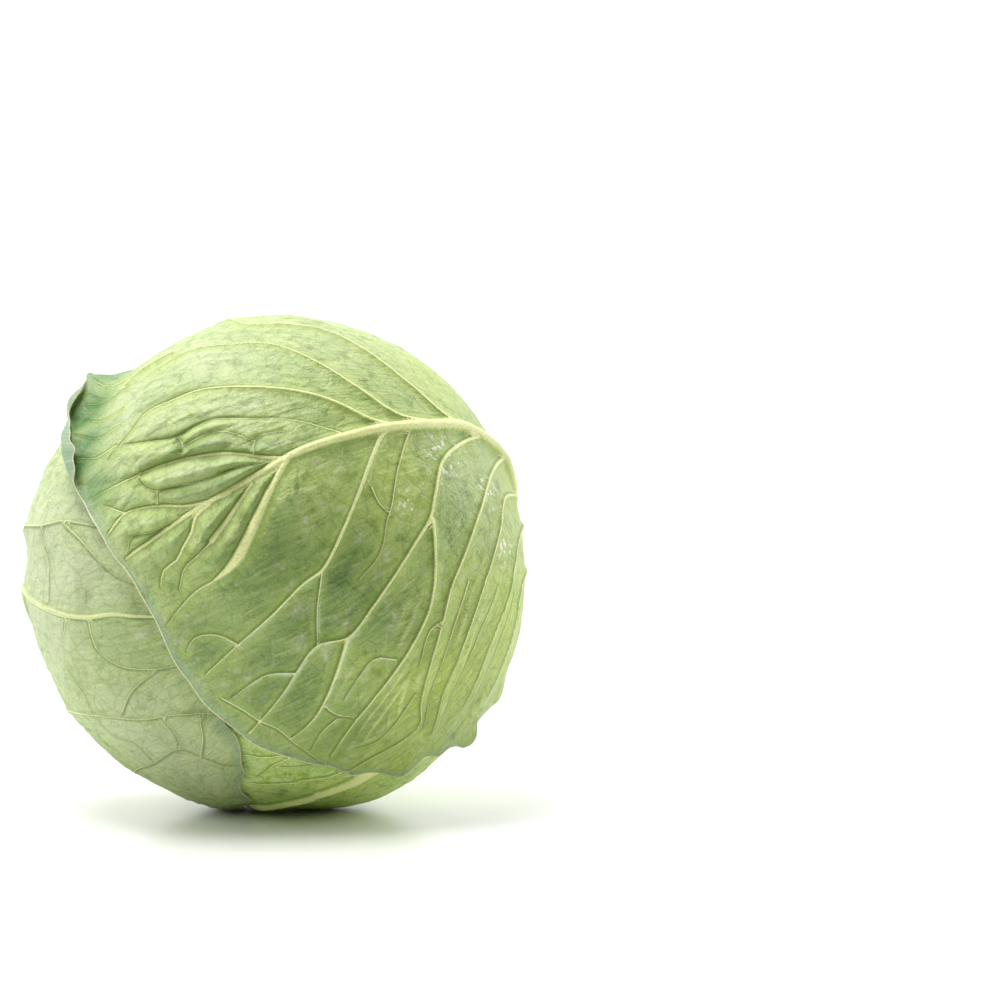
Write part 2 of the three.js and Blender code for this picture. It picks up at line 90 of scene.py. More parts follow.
VEIN_STEP = 3  # between points along a vein
VEIN_FLANK = (1.5, 1.3)  # a vein is this wide on each side: at least, and more by its half-width
RIDGE_HEIGHT = 0.5  # higher lines hold the blade up like tent poles
PLEAT_PITCH = 4.8
PLAIN_PLEATS = 0.3  # strength of the pleats on leaves with no pleated places of their own
PUFF_HEIGHT = (3.6, 1.9, 1.6)  # of puffed blade: everywhere, of its pillows, of soft swells
PUFF_PINCH = 2.4  # it is drawn in to this distance from a vein
PUFF_LEAN = 0.8  # and hangs down by this share of its height
PILLOWS = 900  # on the whole head
PILLOW_SQUEEZE = 0.55  # their length counts for so much less than their width
PILLOW_DRIFT = 0.012  # how unevenly they are bordered
FAN_WIDTH = 0.06  # metres that a radian around the leaf's base counts for in the grain
CHUNK = 1500  # directions worked on at a time

# The front view that places are laid out in: an eye 1.2 m away, slightly above the middle.
EYE_DISTANCE = 1200
EYE_LIFT = math.radians(3.2)
RIGHT = np.array([1, 0, 0])
FRONT = np.array([0, -math.cos(EYE_LIFT), math.sin(EYE_LIFT)])
UP = np.array([0, math.sin(EYE_LIFT), math.cos(EYE_LIFT)])
CAMERA_AIM = (89.2, 24.8)  # right of and above the middle: the head stands left of the view's middle

# Places in metres, sizes in metres, and the setting that holds the power.
SOFTBOXES = {
    "left_softbox": ((-1.25, -0.2, 0.85), (0.8, 0.8), "side_light"),
    "right_softbox": ((1.2, 0.6, 0.7), (0.8, 0.8), "side_light"),
    "overhead_softbox": ((-0.25, -0.05, 1.3), (0.8, 0.6), "top_light"),
}

# Each leaf's material, and its gains of bloom, gold and veins, its lightness and its wrinkles. The bottom
# leaf's lightness is partly its own paler colour and partly painted light, lifting it out of the shade under
# the head.
FINISHES = {
    "leaf_front": ("front_leaf_blade", 0.85, 1.0, 1.0, 1.0, 0.9),
    "leaf_left": ("left_leaf_blade", 1.15, 0.25, 0.85, 0.98, 0.9),
    "leaf_back_top": ("back_top_leaf_blade", 0.9, 0.8, 0.8, 1.0, 0.8),
    "leaf_bottom": ("bottom_leaf_blade", 0.3, 0.5, 0.9, 1.5, 0.7),
    "leaf_back": ("back_leaf_blade", 1.0, 0.5, 0.7, 1.0, 0.6),
}


def unit(vectors):
    return vectors / np.linalg.norm(vectors, axis=-1, keepdims=True)


def smooth(low, high, value):
    share = np.clip((value - low) / (high - low), 0, 1)
    return share * share * (3 - 2 * share)


def bell(distance, reach):
    return np.exp(-((distance / reach) ** 2))


def mix(start, end, share):
    return start + (end - start) * share


def apart(rays, direction):
    """Distance in mm between directions, on the plain sphere."""
    return np.linalg.norm(rays - direction, axis=-1) * HEAD_RADIUS


def towards(x, up, front_):
    return unit(RIGHT * x + UP * up + FRONT * front_)


def front(*points):
    """Directions of points seen from the eye on the near side of the head, as (right, up) in mm."""
    points = np.array(points, float)
    eye = FRONT * EYE_DISTANCE
    ray = unit(points[:, :1] * RIGHT + points[:, 1:] * UP - eye)
    nearest = -(ray @ eye)
    inside = HEAD_RADIUS**2 - EYE_DISTANCE**2 + nearest**2
    return unit(eye + ray * (nearest - np.sqrt(np.maximum(inside, 0)))[:, None])


def back(*points):
    """Directions of points on the far side, straight behind (right, up) in mm."""
    points = np.array(points, float)
    depth = np.sqrt(np.maximum(HEAD_RADIUS**2 - (points**2).sum(1), 1))
    return unit(points[:, :1] * RIGHT + points[:, 1:] * UP - depth[:, None] * FRONT)


def spots(view, *rows):
    """Spots (direction, strength or height, reach in mm) from rows of right, up, strength and reach."""
    return [(view(row[:2]), *row[2:]) for row in rows]


def influence(rays, marks):
    """What each spot counts for at each direction: all of it in its middle, less with distance."""
    return [strength * bell(apart(rays, at), reach) for at, strength, reach in marks]


def strongest(rays, marks):
    return np.max([np.zeros(len(rays)), *influence(rays, marks)], axis=0)


def merged(rays, marks):
    """About the strongest spot, but smooth where spots meet."""
    return sum(part**4 for part in influence(rays, marks)) ** 0.25


STEM = towards(0.85, 0.03, -0.526)  # the stem's axis
PILLOW_RUN = unit(RIGHT * 0.93 + UP * 0.36)  # pillows are long along the front leaf's side veins

# Broad swellings and hollows of the whole head: direction, height and reach in mm.
SWELLS = [
    (towards(0.6, 0.8, 0.1), 0.8, 34),
    (towards(0.86, -0.5, 0.1), 3.4, 36),
    (towards(0.45, -0.89, 0.1), 4.2, 30),
    (towards(-0.57, -0.82, 0), -0.8, 20),
    (towards(-0.36, -0.93, 0.1), 2.2, 20),
    (towards(-0.92, -0.38, 0), 1.6, 20),
    (towards(-1, 0.05, 0), -1.4, 24),
    (towards(-0.57, 0.82, 0), -3, 34),
    (towards(-0.96, 0.27, 0), 1.5, 26),
    (towards(-0.1, 0.99, 0), 0.8, 30),
    (STEM, -7, 27),
]


def drawn(path):
    """Directions along a path: plain pairs (right, up) are on the near side, back() gives the others."""
    stretches = []
    for near, parts in groupby(path, lambda part: isinstance(part, tuple)):
        stretches += [front(*parts)] if near else parts
    return np.vstack(stretches)


def trace(path, step, closed=False):
    """Directions about `step` mm apart on a smooth curve (Catmull-Rom) through those of a path."""
    ends = (path[-1:], path[:2]) if closed else (2 * path[:1] - path[1:2], 2 * path[-1:] - path[-2:-1])
    knots = np.vstack([ends[0], path, ends[1]])
    gap = np.sqrt(np.linalg.norm(np.diff(knots, axis=0), axis=1))
    share = np.linspace(0, 1, 16, endpoint=False)[:, None]
    fine = []
    for index in range(1, len(knots) - 2):
        before, start, end, after = knots[index - 1 : index + 3]
        first, here, last = gap[index - 1 : index + 2]
        leave = ((start - before) / first - (end - before) / (first + here)) * here + (end - start)
        arrive = (end - start) - ((after - start) / (here + last) - (after - end) / last) * here
        fine.append(
            start * (2 * share**3 - 3 * share**2 + 1)
            + leave * (share**3 - 2 * share**2 + share)
            + end * (3 * share**2 - 2 * share**3)
            + arrive * (share**3 - share**2)
        )
    fine = np.vstack([*fine, knots[-2:-1]])
    run = np.concatenate([[0], np.cumsum(np.linalg.norm(np.diff(fine, axis=0), axis=1))])
    stations = np.linspace(0, run[-1], max(2, round(run[-1] * HEAD_RADIUS / step)) + 1)
    points = unit(np.column_stack([np.interp(stations, run, fine[:, axis]) for axis in range(3)]))
    return points[:-1] if closed else points


def clear_of_stump(rays):
    """Moves directions away from the stem's axis until they clear the stump."""
    along = (rays @ STEM)[:, None] * STEM
    aside = rays - along
    reach = np.linalg.norm(aside, axis=1, keepdims=True)
    pushed = unit(along + aside / np.maximum(reach, 1e-9) * LEAF_TO_AXIS / HEAD_RADIUS)
    near = (rays @ STEM > 0)[:, None] & (reach * HEAD_RADIUS < LEAF_TO_AXIS)
    return np.where(near, pushed, rays)


def closest(points, start, side, widths=None):
    """The nearest of the segments to each point: its index, the share along it and the distance."""
    square = (side**2).sum(1)
    found = []
    for first in range(0, len(points), CHUNK):
        part = points[first : first + CHUNK]
        reach = part @ side.T - (start * side).sum(1)
        along = np.clip(reach / square, 0, 1)
        distance = (part**2).sum(1)[:, None] + (start**2).sum(1) - 2 * part @ start.T
        distance = np.sqrt(np.maximum(distance + along * (along * square - 2 * reach), 0))
        key = distance if widths is None else distance - mix(widths[0], widths[1], along)
        index = key.argmin(1)
        row = np.arange(len(part))
        found.append((index, along[row, index], distance[row, index]))
    return [np.concatenate(column) for column in zip(*found)]


def rumple(rays, pitch, seed):
    """A smooth random field between about -1 and 1, whose hills are about `pitch` mm apart."""
    draw = np.random.default_rng(seed)
    waves = unit(draw.normal(size=(14, 3))) * draw.uniform(0.7, 1.4, (14, 1))
    phases = draw.uniform(0, 2 * np.pi, 14)
    turns = rays @ waves.T * (2 * np.pi * HEAD_RADIUS / pitch) + phases
    return np.sin(turns).sum(1) / 4.2


class Strokes:
    """Lines drawn on the head: for any direction, how far the nearest line is and what it is like."""

    def __init__(self, lines):
        rows = []
        for width, height, path in lines:
            points = clear_of_stump(trace(drawn(path), VEIN_STEP))
            share = np.linspace(0, 1, len(points))
            half = mix(*width, share)
            crest = mix(*height, share)
            columns = [points[:-1], points[1:] - points[:-1], half[:-1], half[1:], crest[:-1]]
            rows.append(np.column_stack(columns))
        table = np.vstack(rows)
        self.start, self.side, self.crest = table[:, :3], table[:, 3:6], table[:, 8]
        self.half = table[:, 6:8].T

    def near(self, rays):
        """Distance to the line in mm, the line's half-width, its height, and the side it lies on."""
        widths = self.half / HEAD_RADIUS
        index, along, distance = closest(rays, self.start, self.side, widths)
        half = mix(*self.half[:, index], along)
        sideways = np.cross(self.side[index], self.start[index])
        side = np.sign(((rays - self.start[index]) * sideways).sum(1))
        return distance * HEAD_RADIUS, half, self.crest[index], side


class Leaf:
    """One wrapper leaf: its outline, veins and creases as directions, and what lifts or curls its margin."""

    def __init__(
        self, name, slot, middle, pole, outline, veins, folds=(), lifts=(), flares=(), curls=(), blisters=(),
        pleated=(), tent=(0.6, 7), lip=(0.5, 0), wave=1.0, grid=(290, 100),
    ):
        self.name, self.slot, self.grid = name, slot, grid
        self.lifts, self.flares, self.curls = lifts, flares, curls
        self.blisters, self.pleated = blisters, pleated  # where the blade puffs up or folds between its veins
        self.tent, self.lip = tent, lip  # height and reach of the tent on a ridge; share of LIP, unevenness
        self.pole = towards(*pole)  # the fine grain of the blade runs away from here
        self.middle = towards(*middle)
        self.across = unit(np.cross([0.3, -0.2, 0.9], self.middle))
        self.along = np.cross(self.middle, self.across)
        clear = clear_of_stump(trace(drawn(outline), MARGIN_STEP, True))
        clear = trace(clear, MARGIN_STEP, True)
        calm = strongest(clear, [(at, 1, 1.6 * near) for at, _, near in curls])  # no waves where it curls
        self.margin = self.waved(clear, wave * (1 - calm))
        self.corners = self.flat(self.margin)
        self.veins = Strokes(veins)
        self.ridges = Strokes([*(line for line in veins if line[1][0] > RIDGE_HEIGHT), *folds])

    def waved(self, margin, share):
        turns = round(len(margin) * MARGIN_STEP / WAVE_LENGTH)
        station = np.arange(len(margin)) / len(margin)
        aside = unit(np.cross(np.roll(margin, -1, axis=0) - margin, margin))
        swing = MARGIN_WAVE * np.sin(2 * np.pi * turns * station) + 0.4 * rumple(margin, 13, len(self.name))
        return unit(margin + aside * (share * swing / HEAD_RADIUS)[:, None])

    def flat(self, rays):
        """The stereographic map about the leaf's middle."""
        spread = 2 * HEAD_RADIUS / np.maximum(1 + rays @ self.middle, 1e-6)
        return np.column_stack([rays @ self.across, rays @ self.along]) * spread[:, None]

    def outside(self, rays):
        """How far directions lie outside the margin in mm, negative on the leaf."""
        points = self.flat(rays)
        start = self.corners
        end = np.roll(start, -1, axis=0)
        distance = closest(points, start, end - start)[2]
        within = np.zeros(len(points), bool)
        for (x0, y0), (x1, y1) in zip(start, end):
            if y0 != y1:
                crosses = (y0 > points[:, 1]) != (y1 > points[:, 1])
                within ^= crosses & (points[:, 0] < x0 + (x1 - x0) * (points[:, 1] - y0) / (y1 - y0))
        facing = rays @ self.middle
        signed = np.where(within, -distance, distance) * (1 + facing) / 2
        return np.where(facing < -0.97, 2 * HEAD_RADIUS, signed)

    def polar(self, rays):
        """Azimuth about the leaf's middle, and the angle from it."""
        azimuth = np.arctan2(rays @ self.along, rays @ self.across)
        return azimuth, np.arccos(np.clip(rays @ self.middle, -1, 1))

    def from_polar(self, azimuth, angle):
        ring = np.cos(azimuth)[:, None] * self.across + np.sin(azimuth)[:, None] * self.along
        return np.cos(angle)[:, None] * self.middle + np.sin(angle)[:, None] * ring


def stroke(half_widths, heights):
    """A kind of line: half-widths of its pale stripe and heights of its ridge, each at start and end."""
    return lambda *path: (half_widths, heights, path)


midrib = stroke((3.9, 0.6), (3.7, 0.7))
rib = stroke((0.85, 0.24), (1.0, 0.25))
vein = stroke((0.38, 0.14), (0.36, 0.06))
seam = stroke((0.2, 0.16), (0, 0))
crease = stroke((0.3, 0.3), (0, 0))

# Paths and spots are placed as (right, up) in mm. Plain pairs in a path are on the near side.
LEAF_FRONT = Leaf(
    "leaf_front",
    "outer_leaf",
    middle=(0.15, 0.4, 0.9),
    pole=(0.88, 0.45, 0.1),
    outline=[
        back((85, 25), (80, 45), (62, 72), (35, 88), (5, 92), (-28, 84), (-46, 82), (-57, 78), (-65, 73.5)),
        (-71.5, 67.5), (-77, 60), (-80, 52), (-80.5, 43), (-79, 32), (-75, 21), (-65, 4), (-55, -11),
        (-45, -31), (-35, -49),
        (-25, -60), (-21, -64), (-14, -69), (-3, -75), (16, -81), (35, -84), (46, -83), (53, -80),
        (58, -77), (63, -75), (67, -72), (71, -70.5), (75, -67.5), (77.8, -61.5),
        back((83, -53), (88, -40), (93, -18), (92, -4), (88.3, 8.7), (83, 18)),
    ],
    veins=[
        midrib(
            back((90, 13), (92.5, 19), (94.5, 26.5), (93.3, 33)),
            (89.4, 42.6), (82.5, 50), (73, 54.5), (61, 55), (46, 54), (26, 50), (8, 44),
            (-5, 37), (-19, 29), (-39, 17), (-49, 10), (-59, 2),
        ),
        rib((79, 50), (66, 60), (52, 72), (38, 83), (18, 93), (3, 95), (-11, 95), back((-24, 92))),
        rib((68, 55), (49, 59), (32, 70), (18, 79), (-2, 87), (-19, 87), (-34, 85), (-51, 75)),
        rib(
            (46, 55), (38, 57), (26, 63), (15, 67), (-8, 70), (-22, 70), (-31, 69), (-42, 65),
            (-52, 60), (-58, 52), (-66, 42),
        ),
        vein((26, 52), (13, 56), (2, 58), (-9, 58)),
        seam((-9, 58), (-25, 57.7), (-32, 55), (-39, 51), (-51, 49), (-62, 47)),
        seam((-39, 51), (-36.8, 47.5), (-37.2, 44.8)),
        rib((-42, 84), (-56, 76), (-65, 67), (-74, 62)),
        vein((-46, 82), (-56, 79), back((-62, 74))),
        vein((-53, 78), (-63, 73), (-68, 70), back((-67, 69))),
        vein((-60, 71), (-68, 66), (-73, 65)),
        vein((-62, 62), (-70, 57), (-76, 57)),
        vein((-63, 55), (-71, 50), (-78, 50)),
        vein((-64, 47), (-72, 42), (-78, 41)),
        rib((4, 42), (-2, 42), (-18, 44), (-31, 43), (-44, 40), (-58, 34), (-72, 26)),
        rib((-19, 28), (-26, 25), (-36, 23), (-48, 23), (-60, 20), (-66, 12)),
        vein((-60, 20), (-68, 23)),
        stroke((1.1, 2.3), (1.6, 1.5))((4, 41), (0, 34), (-6, 22), (-11, 11), (-15, 3)),
        stroke((2.3, 0.5), (1.5, 0.3))((-15, 3), (-19, -2), (-25, -7)),
        vein((-25, -7), (-32, -11), (-38, -17), (-44, -25)),
        stroke((0.6, 1.2), (0.6, 0.9))((-10, 32), (-14, 26), (-20, 17), (-26, 9)),
        rib((-27, 23), (-32, 19), (-34, 12), (-38, 5), (-39, 2), (-45, -3), (-46, -9)),
        vein((-26, 9), (-31, 4), (-37, -2), (-39, -10)),
        rib(
            (50, 54), (43, 52), (38, 42), (32, 26), (26, 12), (18, -3), (11, -8), (-2, -21),
            (-17, -34), (-28, -44),
        ),
        vein((18, -3), (16, -20), (16, -33)),
        rib(
            (80, 50), (73, 47), (66, 40), (63, 26), (61, 17), (56, 9), (45, -8), (38, -18), (28, -30),
            (16, -33), (8, -43), (3, -51), (-5, -61), (-12, -68),
        ),
        rib((28, -30), (25, -40), (19, -55), (13, -64), (5, -70)),
        vein((19, -57), (23, -61), (32, -62)),
        vein((6, -44), (-4, -45), (-11, -49), (-18, -54)),
        vein((24, -63), (18, -68), (13, -76)),
        rib((62, 17), (63, 6), (61, -17), (53, -34), (43, -48), (32, -62), (26, -70), (21, -77)),
        vein((47, -39), (39, -39), (31, -49), (27, -55)),
        rib(
            (90, 42), (86, 36), (81, 20), (76, 6), (69, -11), (66, -23), (61, -40), (57, -55), (56, -65),
            (49, -71), (38, -77), (26, -83),
        ),
        vein((66, -23), (61, -28), (57, -42)),
        rib(
            back((94.5, 27)),
            (97, 26), (91, 25), (89, 12), (83, -8), (76, -27), (71, -40), (66, -51), (61, -67),
        ),
        rib(back((93, 21), (96.5, 17)), (97, 10), (95, 0), (92, -14), (85, -31), (79, -45), (73, -57)),
        rib(back((91.5, 16), (94, 11), (97, 2)), (97, -10), (94, -24), (88, -40), (82, -52)),
        vein((53, 52), (51, 46), (48, 34), (46, 22), (44, 16), (43, 8), (40, 1), (33, -7)),
        vein((38, 30), (41, 24), (46, 19)),
        vein((-15, -33), (-24, -29), (-33, -30), (-36, -35)),
        vein((-22, -54), (-15, -58), (-7, -63), (1, -67), (12, -76), (20, -81), (29, -83)),
        vein((-7, -63), (-8, -64), (-11, -68)),
        vein((55, -53), (48, -64), (40, -72), (31, -75)),
        vein((77, -8), (71, -26), (66, -41), (61, -54), (58, -66)),
        vein((88, -12), (81, -29), (75, -43), (69, -55), (64, -66)),
        vein((95, -12), (90, -28), (84, -42), (78, -54), (73, -63)),
        seam((-47, 23.5), (-47, 29.7), (-44.4, 31), (-35.5, 32.4), (-26.6, 35), (-18.6, 38.6), (-6, 41)),
        seam((-47, 29.5), (-52.8, 31.5), (-54.6, 34.6), (-54, 37)),
        seam((-66.6, 11), (-63.9, 14.6), (-61.2, 19)),
        seam((-58.6, 6), (-57.7, 11), (-53.2, 12.8), (-48.8, 13.7), (-41.7, 17.2), (-35, 19)),
        seam((-9, 44), (-9, 49), (-5, 52), (3, 53)),
        seam((-37, 47), (-30, 51), (-21, 53), (-9, 49)),
        rib(back((94.5, 27), (90, 40), (78, 60), (60, 76), (40, 88), (20, 95), (2, 95))),
        rib(back((92.5, 20), (87, 36), (80, 49), (71, 61))),
    ],
    lifts=[
        *spots(
            front,
            (-66, 12, 1.0, 22), (-38, -40, 0.8, 24), (-5, -74, 1.2, 9), (26, -84, 1.6, 9),
            (48, -83, 2.4, 8), (62, -76, 1.2, 6), (74, -68, 4.5, 6.5), (86, -50, 3.6, 8),
        ),
        *spots(back, (70, 62, 2, 16), (12, 91, 2.6, 14), (-40, 80, 2.2, 12)),
    ],
    flares=[
        *spots(front, (-69, 71, 10.5, 16)),
        *spots(back, (-61, 77, 6.5, 9)),
        *spots(front, (-76, 61, 8, 11), (-80, 46, 5.5, 19)),
    ],
    curls=spots(front, (-80, 44, 1.0, 20), (-76, 61, 0.7, 9)),
    blisters=spots(
        front,
        (-40, 42, 1.0, 24), (-14, 36, 0.9, 22), (-50, 16, 0.8, 18), (-22, 14, 0.8, 18), (-40, 64, 0.5, 18),
    ),
    pleated=spots(front, (64, -44, 1.0, 46), (0, 90, 0.5, 42)),
    lip=(1, 0.4),
    wave=0.35,
)

LEAF_LEFT = Leaf(
    "leaf_left",
    "bloomed_leaf",
    middle=(-0.75, -0.4, -0.5),
    pole=(-0.2, 0.1, -0.97),
    outline=[
        (-45, 28), (-30, 0), (-15, -35), (-21, -64), (-18, -70), (-14, -80), (-15, -89),
        (-12, -96), (-14, -98),
        back((-15, -97), (-6, -95), (12, -92), (35, -84), (60, -65), (78, -35), (84, -15), (82.6, -6.4)),
        back((74, 1), (50, 8), (20, 12), (-15, 18), (-45, 32), (-66, 54)),
        (-66, 66),
    ],
    veins=[
        midrib(
            back((80, -15), (50, -50), (5, -68), (-45, -62), (-82, -40)),
            (-100, -10), (-95, -14), (-88, -18), (-82, -20), (-74, -21), (-64, -20), (-49, -22),
        ),
        rib(
            back((-45, -62), (-78, -60)),
            (-83, -58), (-71, -59), (-51, -61), (-42, -60), (-31, -60), (-25, -62),
        ),
        vein(
            back((5, -68), (-30, -82), (-52, -84)),
            (-57, -83), (-49, -80), (-39, -75), (-31, -78), (-22, -81), (-14, -82),
        ),
        rib(
            back((-45, -62), (-80, -24), (-97, 4)),
            (-99, 14), (-92, 15), (-84, 17), (-78, 16), (-71, 15), (-64, 15),
        ),
        vein((-84, 16), (-78, 9), (-71, 0), (-67, -4), (-54, -10)),
        vein((-31, -78), (-30, -70), (-31, -60)),
        vein((-74, -21), (-72, -34), (-64, -41), (-48, -43), (-37, -41)),
        vein((-61, -59), (-58, -51), (-48, -43)),
        vein((-82, -20), (-84, -34), (-80, -44), (-71, -59)),
        vein((-71, -59), (-66, -68), (-57, -72), (-49, -80)),
        vein((-45, -61), (-41, -68), (-39, -75)),
        vein((-92, 15), (-91, 2), (-88, -18)),
        rib(back((5, -68), (-30, -40), (-62, -14), (-88, 20), (-90, 38))),
        rib(back((30, -60), (5, -38), (-28, -14), (-58, 16), (-72, 44))),
        rib(back((55, -45), (35, -22), (10, -8), (-12, 4))),
        rib(back((55, -45), (42, -72), (30, -84))),
        rib(back((30, -60), (8, -84), (-2, -94))),
        vein(back((-18, -28), (-26, -50), (-45, -62))),
        vein(back((-46, -24), (-60, -38), (-66, -50))),
        vein(back((12, -42), (4, -56), (5, -68))),
    ],
    folds=[
        crease((-84, 16), (-80, 0), (-79, -20), (-82, -41), (-82, -58)),
        crease((-82, -58), (-75, -67), (-68, -77), (-57, -83)),
        crease(back((-97, 4), (-94, -14)), (-100, -10)),
    ],
    tent=(1.8, 16),
    lifts=[
        *spots(front, (-17, -78, 0.8, 14)),
        *spots(back, (60, -66, 2.2, 12), (30, 9, 2.6, 13), (-12, 18, 1.8, 11), (-44, 32, 2.6, 13)),
    ],
    wave=0.7,
)

LEAF_BACK_TOP = Leaf(
    "leaf_back_top",
    "outer_leaf",
    middle=(0.1, 0.9, -0.35),
    pole=(0.85, 0.1, -0.4),
    outline=[
        back((89, 17), (81.3, 11.7), (75, 11), (60, 24), (30, 34), (0, 41), (-30, 50), (-54, 62)),
        (-66, 70), (-50, 66), (-30, 66), (0, 72), (35, 72), (60, 58), (80, 42), (92, 26),
    ],
    veins=[
        midrib(back((82, 20), (66, 50), (40, 72), (0, 82), (-40, 76), (-58, 70))),
        rib(back((66, 50), (45, 48), (20, 42))),
        rib(back((40, 72), (18, 64), (-4, 52), (-10, 44))),
        rib(back((0, 82), (-22, 72), (-38, 58))),
        vein(back((30, 69), (34, 56), (38, 46))),
        vein(back((2, 56), (16, 48), (20, 42))),
        vein(back((-12, 76), (-8, 64), (-4, 52))),
        vein(back((56, 49), (52, 38), (48, 32))),
    ],
    lifts=spots(back, (44, 29, 2, 12), (8, 39, 2.8, 14), (-34, 52, 2.2, 12)),
    grid=(200, 80),
)

LEAF_BOTTOM = Leaf(
    "leaf_bottom",
    "inner_leaf",
    middle=(0.25, -0.93, -0.05),
    pole=(0.95, -0.2, 0),
    outline=[
        back((88.3, -3.4), (94, -3)),
        (94, -22), (82, -42), (66, -52), (40, -58), (10, -60), (-15, -56), (-45, -58), (-72, -58),
        back((-74, -60), (-50, -75), (0, -80), (40, -72), (68, -52), (80, -26), (83, -14)),
    ],
    veins=[
        stroke((3.6, 2.2), (2.6, 1.6))(
            back((91, -12), (93, -28)),
            (86, -50), (70, -70), (56, -78), (35, -86), (14, -94), (-6, -98),
            back((-30, -94), (-50, -85)),
        ),
        rib((86, -50), (62, -66), (38, -74), (11, -79), (-14, -80)),
        rib((70, -70), (45, -79), (20, -87), (-10, -90)),
        rib(back((93, -28), (84, -50), (64, -70))),
        vein((78, -60), (52, -74), (28, -81), (-2, -85)),
        vein((11, -79), (2, -82), (-8, -88)),
        vein((38, -74), (30, -78), (24, -86)),
    ],
    lifts=spots(back, (66, -56, 1.6, 12)),
    wave=0.7,
    grid=(240, 80),
)

LEAF_BACK = Leaf(
    "leaf_back",
    "bloomed_leaf",
    middle=(-0.2, 0.05, -0.97),
    pole=(0.85, 0.03, -0.526),
    outline=[
        back((79.3, -0.4), (77, -14), (66, -30), (20, -50), (-30, -52), (-68, -46)),
        (-92, -20), (-86, 5), (-80, 30), (-70, 52),
        back((-48, 76), (0, 78), (40, 62), (66, 36), (77, 14)),
    ],
    veins=[
        midrib(back((76, -2), (55, 8), (25, 18), (-20, 24), (-60, 30), (-84, 34))),
        rib(back((25, 18), (5, 28), (-18, 44))),
        rib(back((-8, 22), (-34, 40), (-50, 60))),
        rib(back((55, 8), (40, 20), (26, 32))),
        vein(back((4, 28), (-10, 26), (-20, 30), (-34, 40))),
        vein(back((40, 20), (22, 26), (10, 26))),
    ],
    grid=(200, 80),
)

LEAVES = [LEAF_FRONT, LEAF_LEFT, LEAF_BACK_TOP, LEAF_BOTTOM, LEAF_BACK]

# Broad patches of colour on all leaves; some of them are painted shade or a painted highlight, as marked.
PATCHES = {
    # Darker green patches; the one at (-56, -34), beside the front leaf's margin, is painted shade.
    "deep": spots(
        front,
        (27, -4, 0.9, 16), (37, -20, 0.9, 16), (14, -24, 0.8, 18), (-2, -2, 0.7, 20),
        (-30, -36, 0.7, 16), (2, -50, 0.9, 24), (-56, -34, 0.4, 20), (72, 22, 0.2, 12),
        (30, -66, 0.8, 16), (54, -30, 0.6, 13), (60, -60, 0.4, 10),
    ),
    "golden": [
        *spots(
            front,
            (96, 30, 1.0, 30), (94, -20, 0.9, 34), (62, 74, 0.7, 30), (40, -84, 0.8, 24),
            (64, -52, 1.0, 26), (48, 36, 0.7, 18),
        ),
        (STEM, 1.0, 60),
    ],
    "bloom": [
        *spots(front, (-60, 60, 0.9, 34), (-30, 84, 0.8, 34), (-90, 0, 0.9, 60), (-50, -70, 0.8, 44)),
        *spots(front, (-18, 58, 0.6, 30), (-34, 36, 0.6, 26), (-34, -84, 0.8, 22), (20, 92, 0.6, 40)),
        *spots(back, (-60, 0, 0.7, 70)),
    ],
    # where the painted bluish highlight beside the veins shows
    "wax": spots(front, (12, -38, 1.0, 26), (-16, -22, 0.5, 18)),
    # painted shade in the pocket behind the curled margin, darker and bluer
    "cool": [
        *spots(back, (-62, 74, 1.0, 19), (-62, 77, 1.0, 11)),
        *spots(front, (-67, 73, 1.0, 11), (-72, 63, 1.0, 9), (-77, 56, 1.0, 11)),
        *spots(front, (-75, 48, 1.0, 9), (-77, 40, 1.0, 9), (-72, 30, 0.8, 10)),
    ],
    "scars": spots(front, (67, 44, 1.0, 9), (85, 28, 1.0, 8), (53, 24, 1.0, 5), (92, 4, 1.0, 8)),
}


def rest_radius(rays, radius):
    floor = MIDDLE.z / MM / np.maximum(-rays[:, 2], 1e-6)
    return np.where(rays[:, 2] < 0, np.minimum(radius, floor), radius)


def head_radius(rays):
    return sum(influence(rays, SWELLS), np.full(len(rays), HEAD_RADIUS))


def setting(index, rays):
    """Radius of layer number `index` under the leaves before it, and how open to the air it is."""
    sunk = np.zeros(len(rays))
    open_ = np.ones(len(rays))
    for leaf in LEAVES[:index]:
        past = leaf.outside(rays)
        sunk += 1 - smooth(*DRAPE, past)
        open_ *= smooth(*OPENING, past)
    return rest_radius(rays, head_radius(rays) - SINK) - LAYER * sunk, open_


def pillows(rays, seed):
    """Rounded cells over the head, long along the side veins: 0 on their borders, 1 on top."""
    draw = np.random.default_rng(seed)
    squeeze = np.eye(3) - PILLOW_SQUEEZE * np.outer(PILLOW_RUN, PILLOW_RUN)
    step = np.arange(PILLOWS)
    height = 1 - (2 * step + 1) / PILLOWS
    ring = np.sqrt(1 - height**2)
    turn = math.pi * (3 - math.sqrt(5)) * step  # golden angles
    seeds = np.column_stack([ring * np.cos(turn), ring * np.sin(turn), height])
    seeds = unit(seeds + draw.normal(scale=0.9 / math.sqrt(PILLOWS), size=seeds.shape)) @ squeeze
    tree = kdtree.KDTree(PILLOWS)
    for number, place in enumerate(seeds):
        tree.insert(place, number)
    tree.balance()
    drift = np.column_stack([rumple(rays, 12, seed + axis) for axis in range(3)])
    gaps = np.empty(len(rays))
    for number, place in enumerate((rays + PILLOW_DRIFT * drift) @ squeeze):
        (_, _, first), (_, _, second) = tree.find_n(place, 2)
        gaps[number] = second - first
    return 1 - np.exp(-((gaps * math.sqrt(PILLOWS) / 1.1) ** 2))


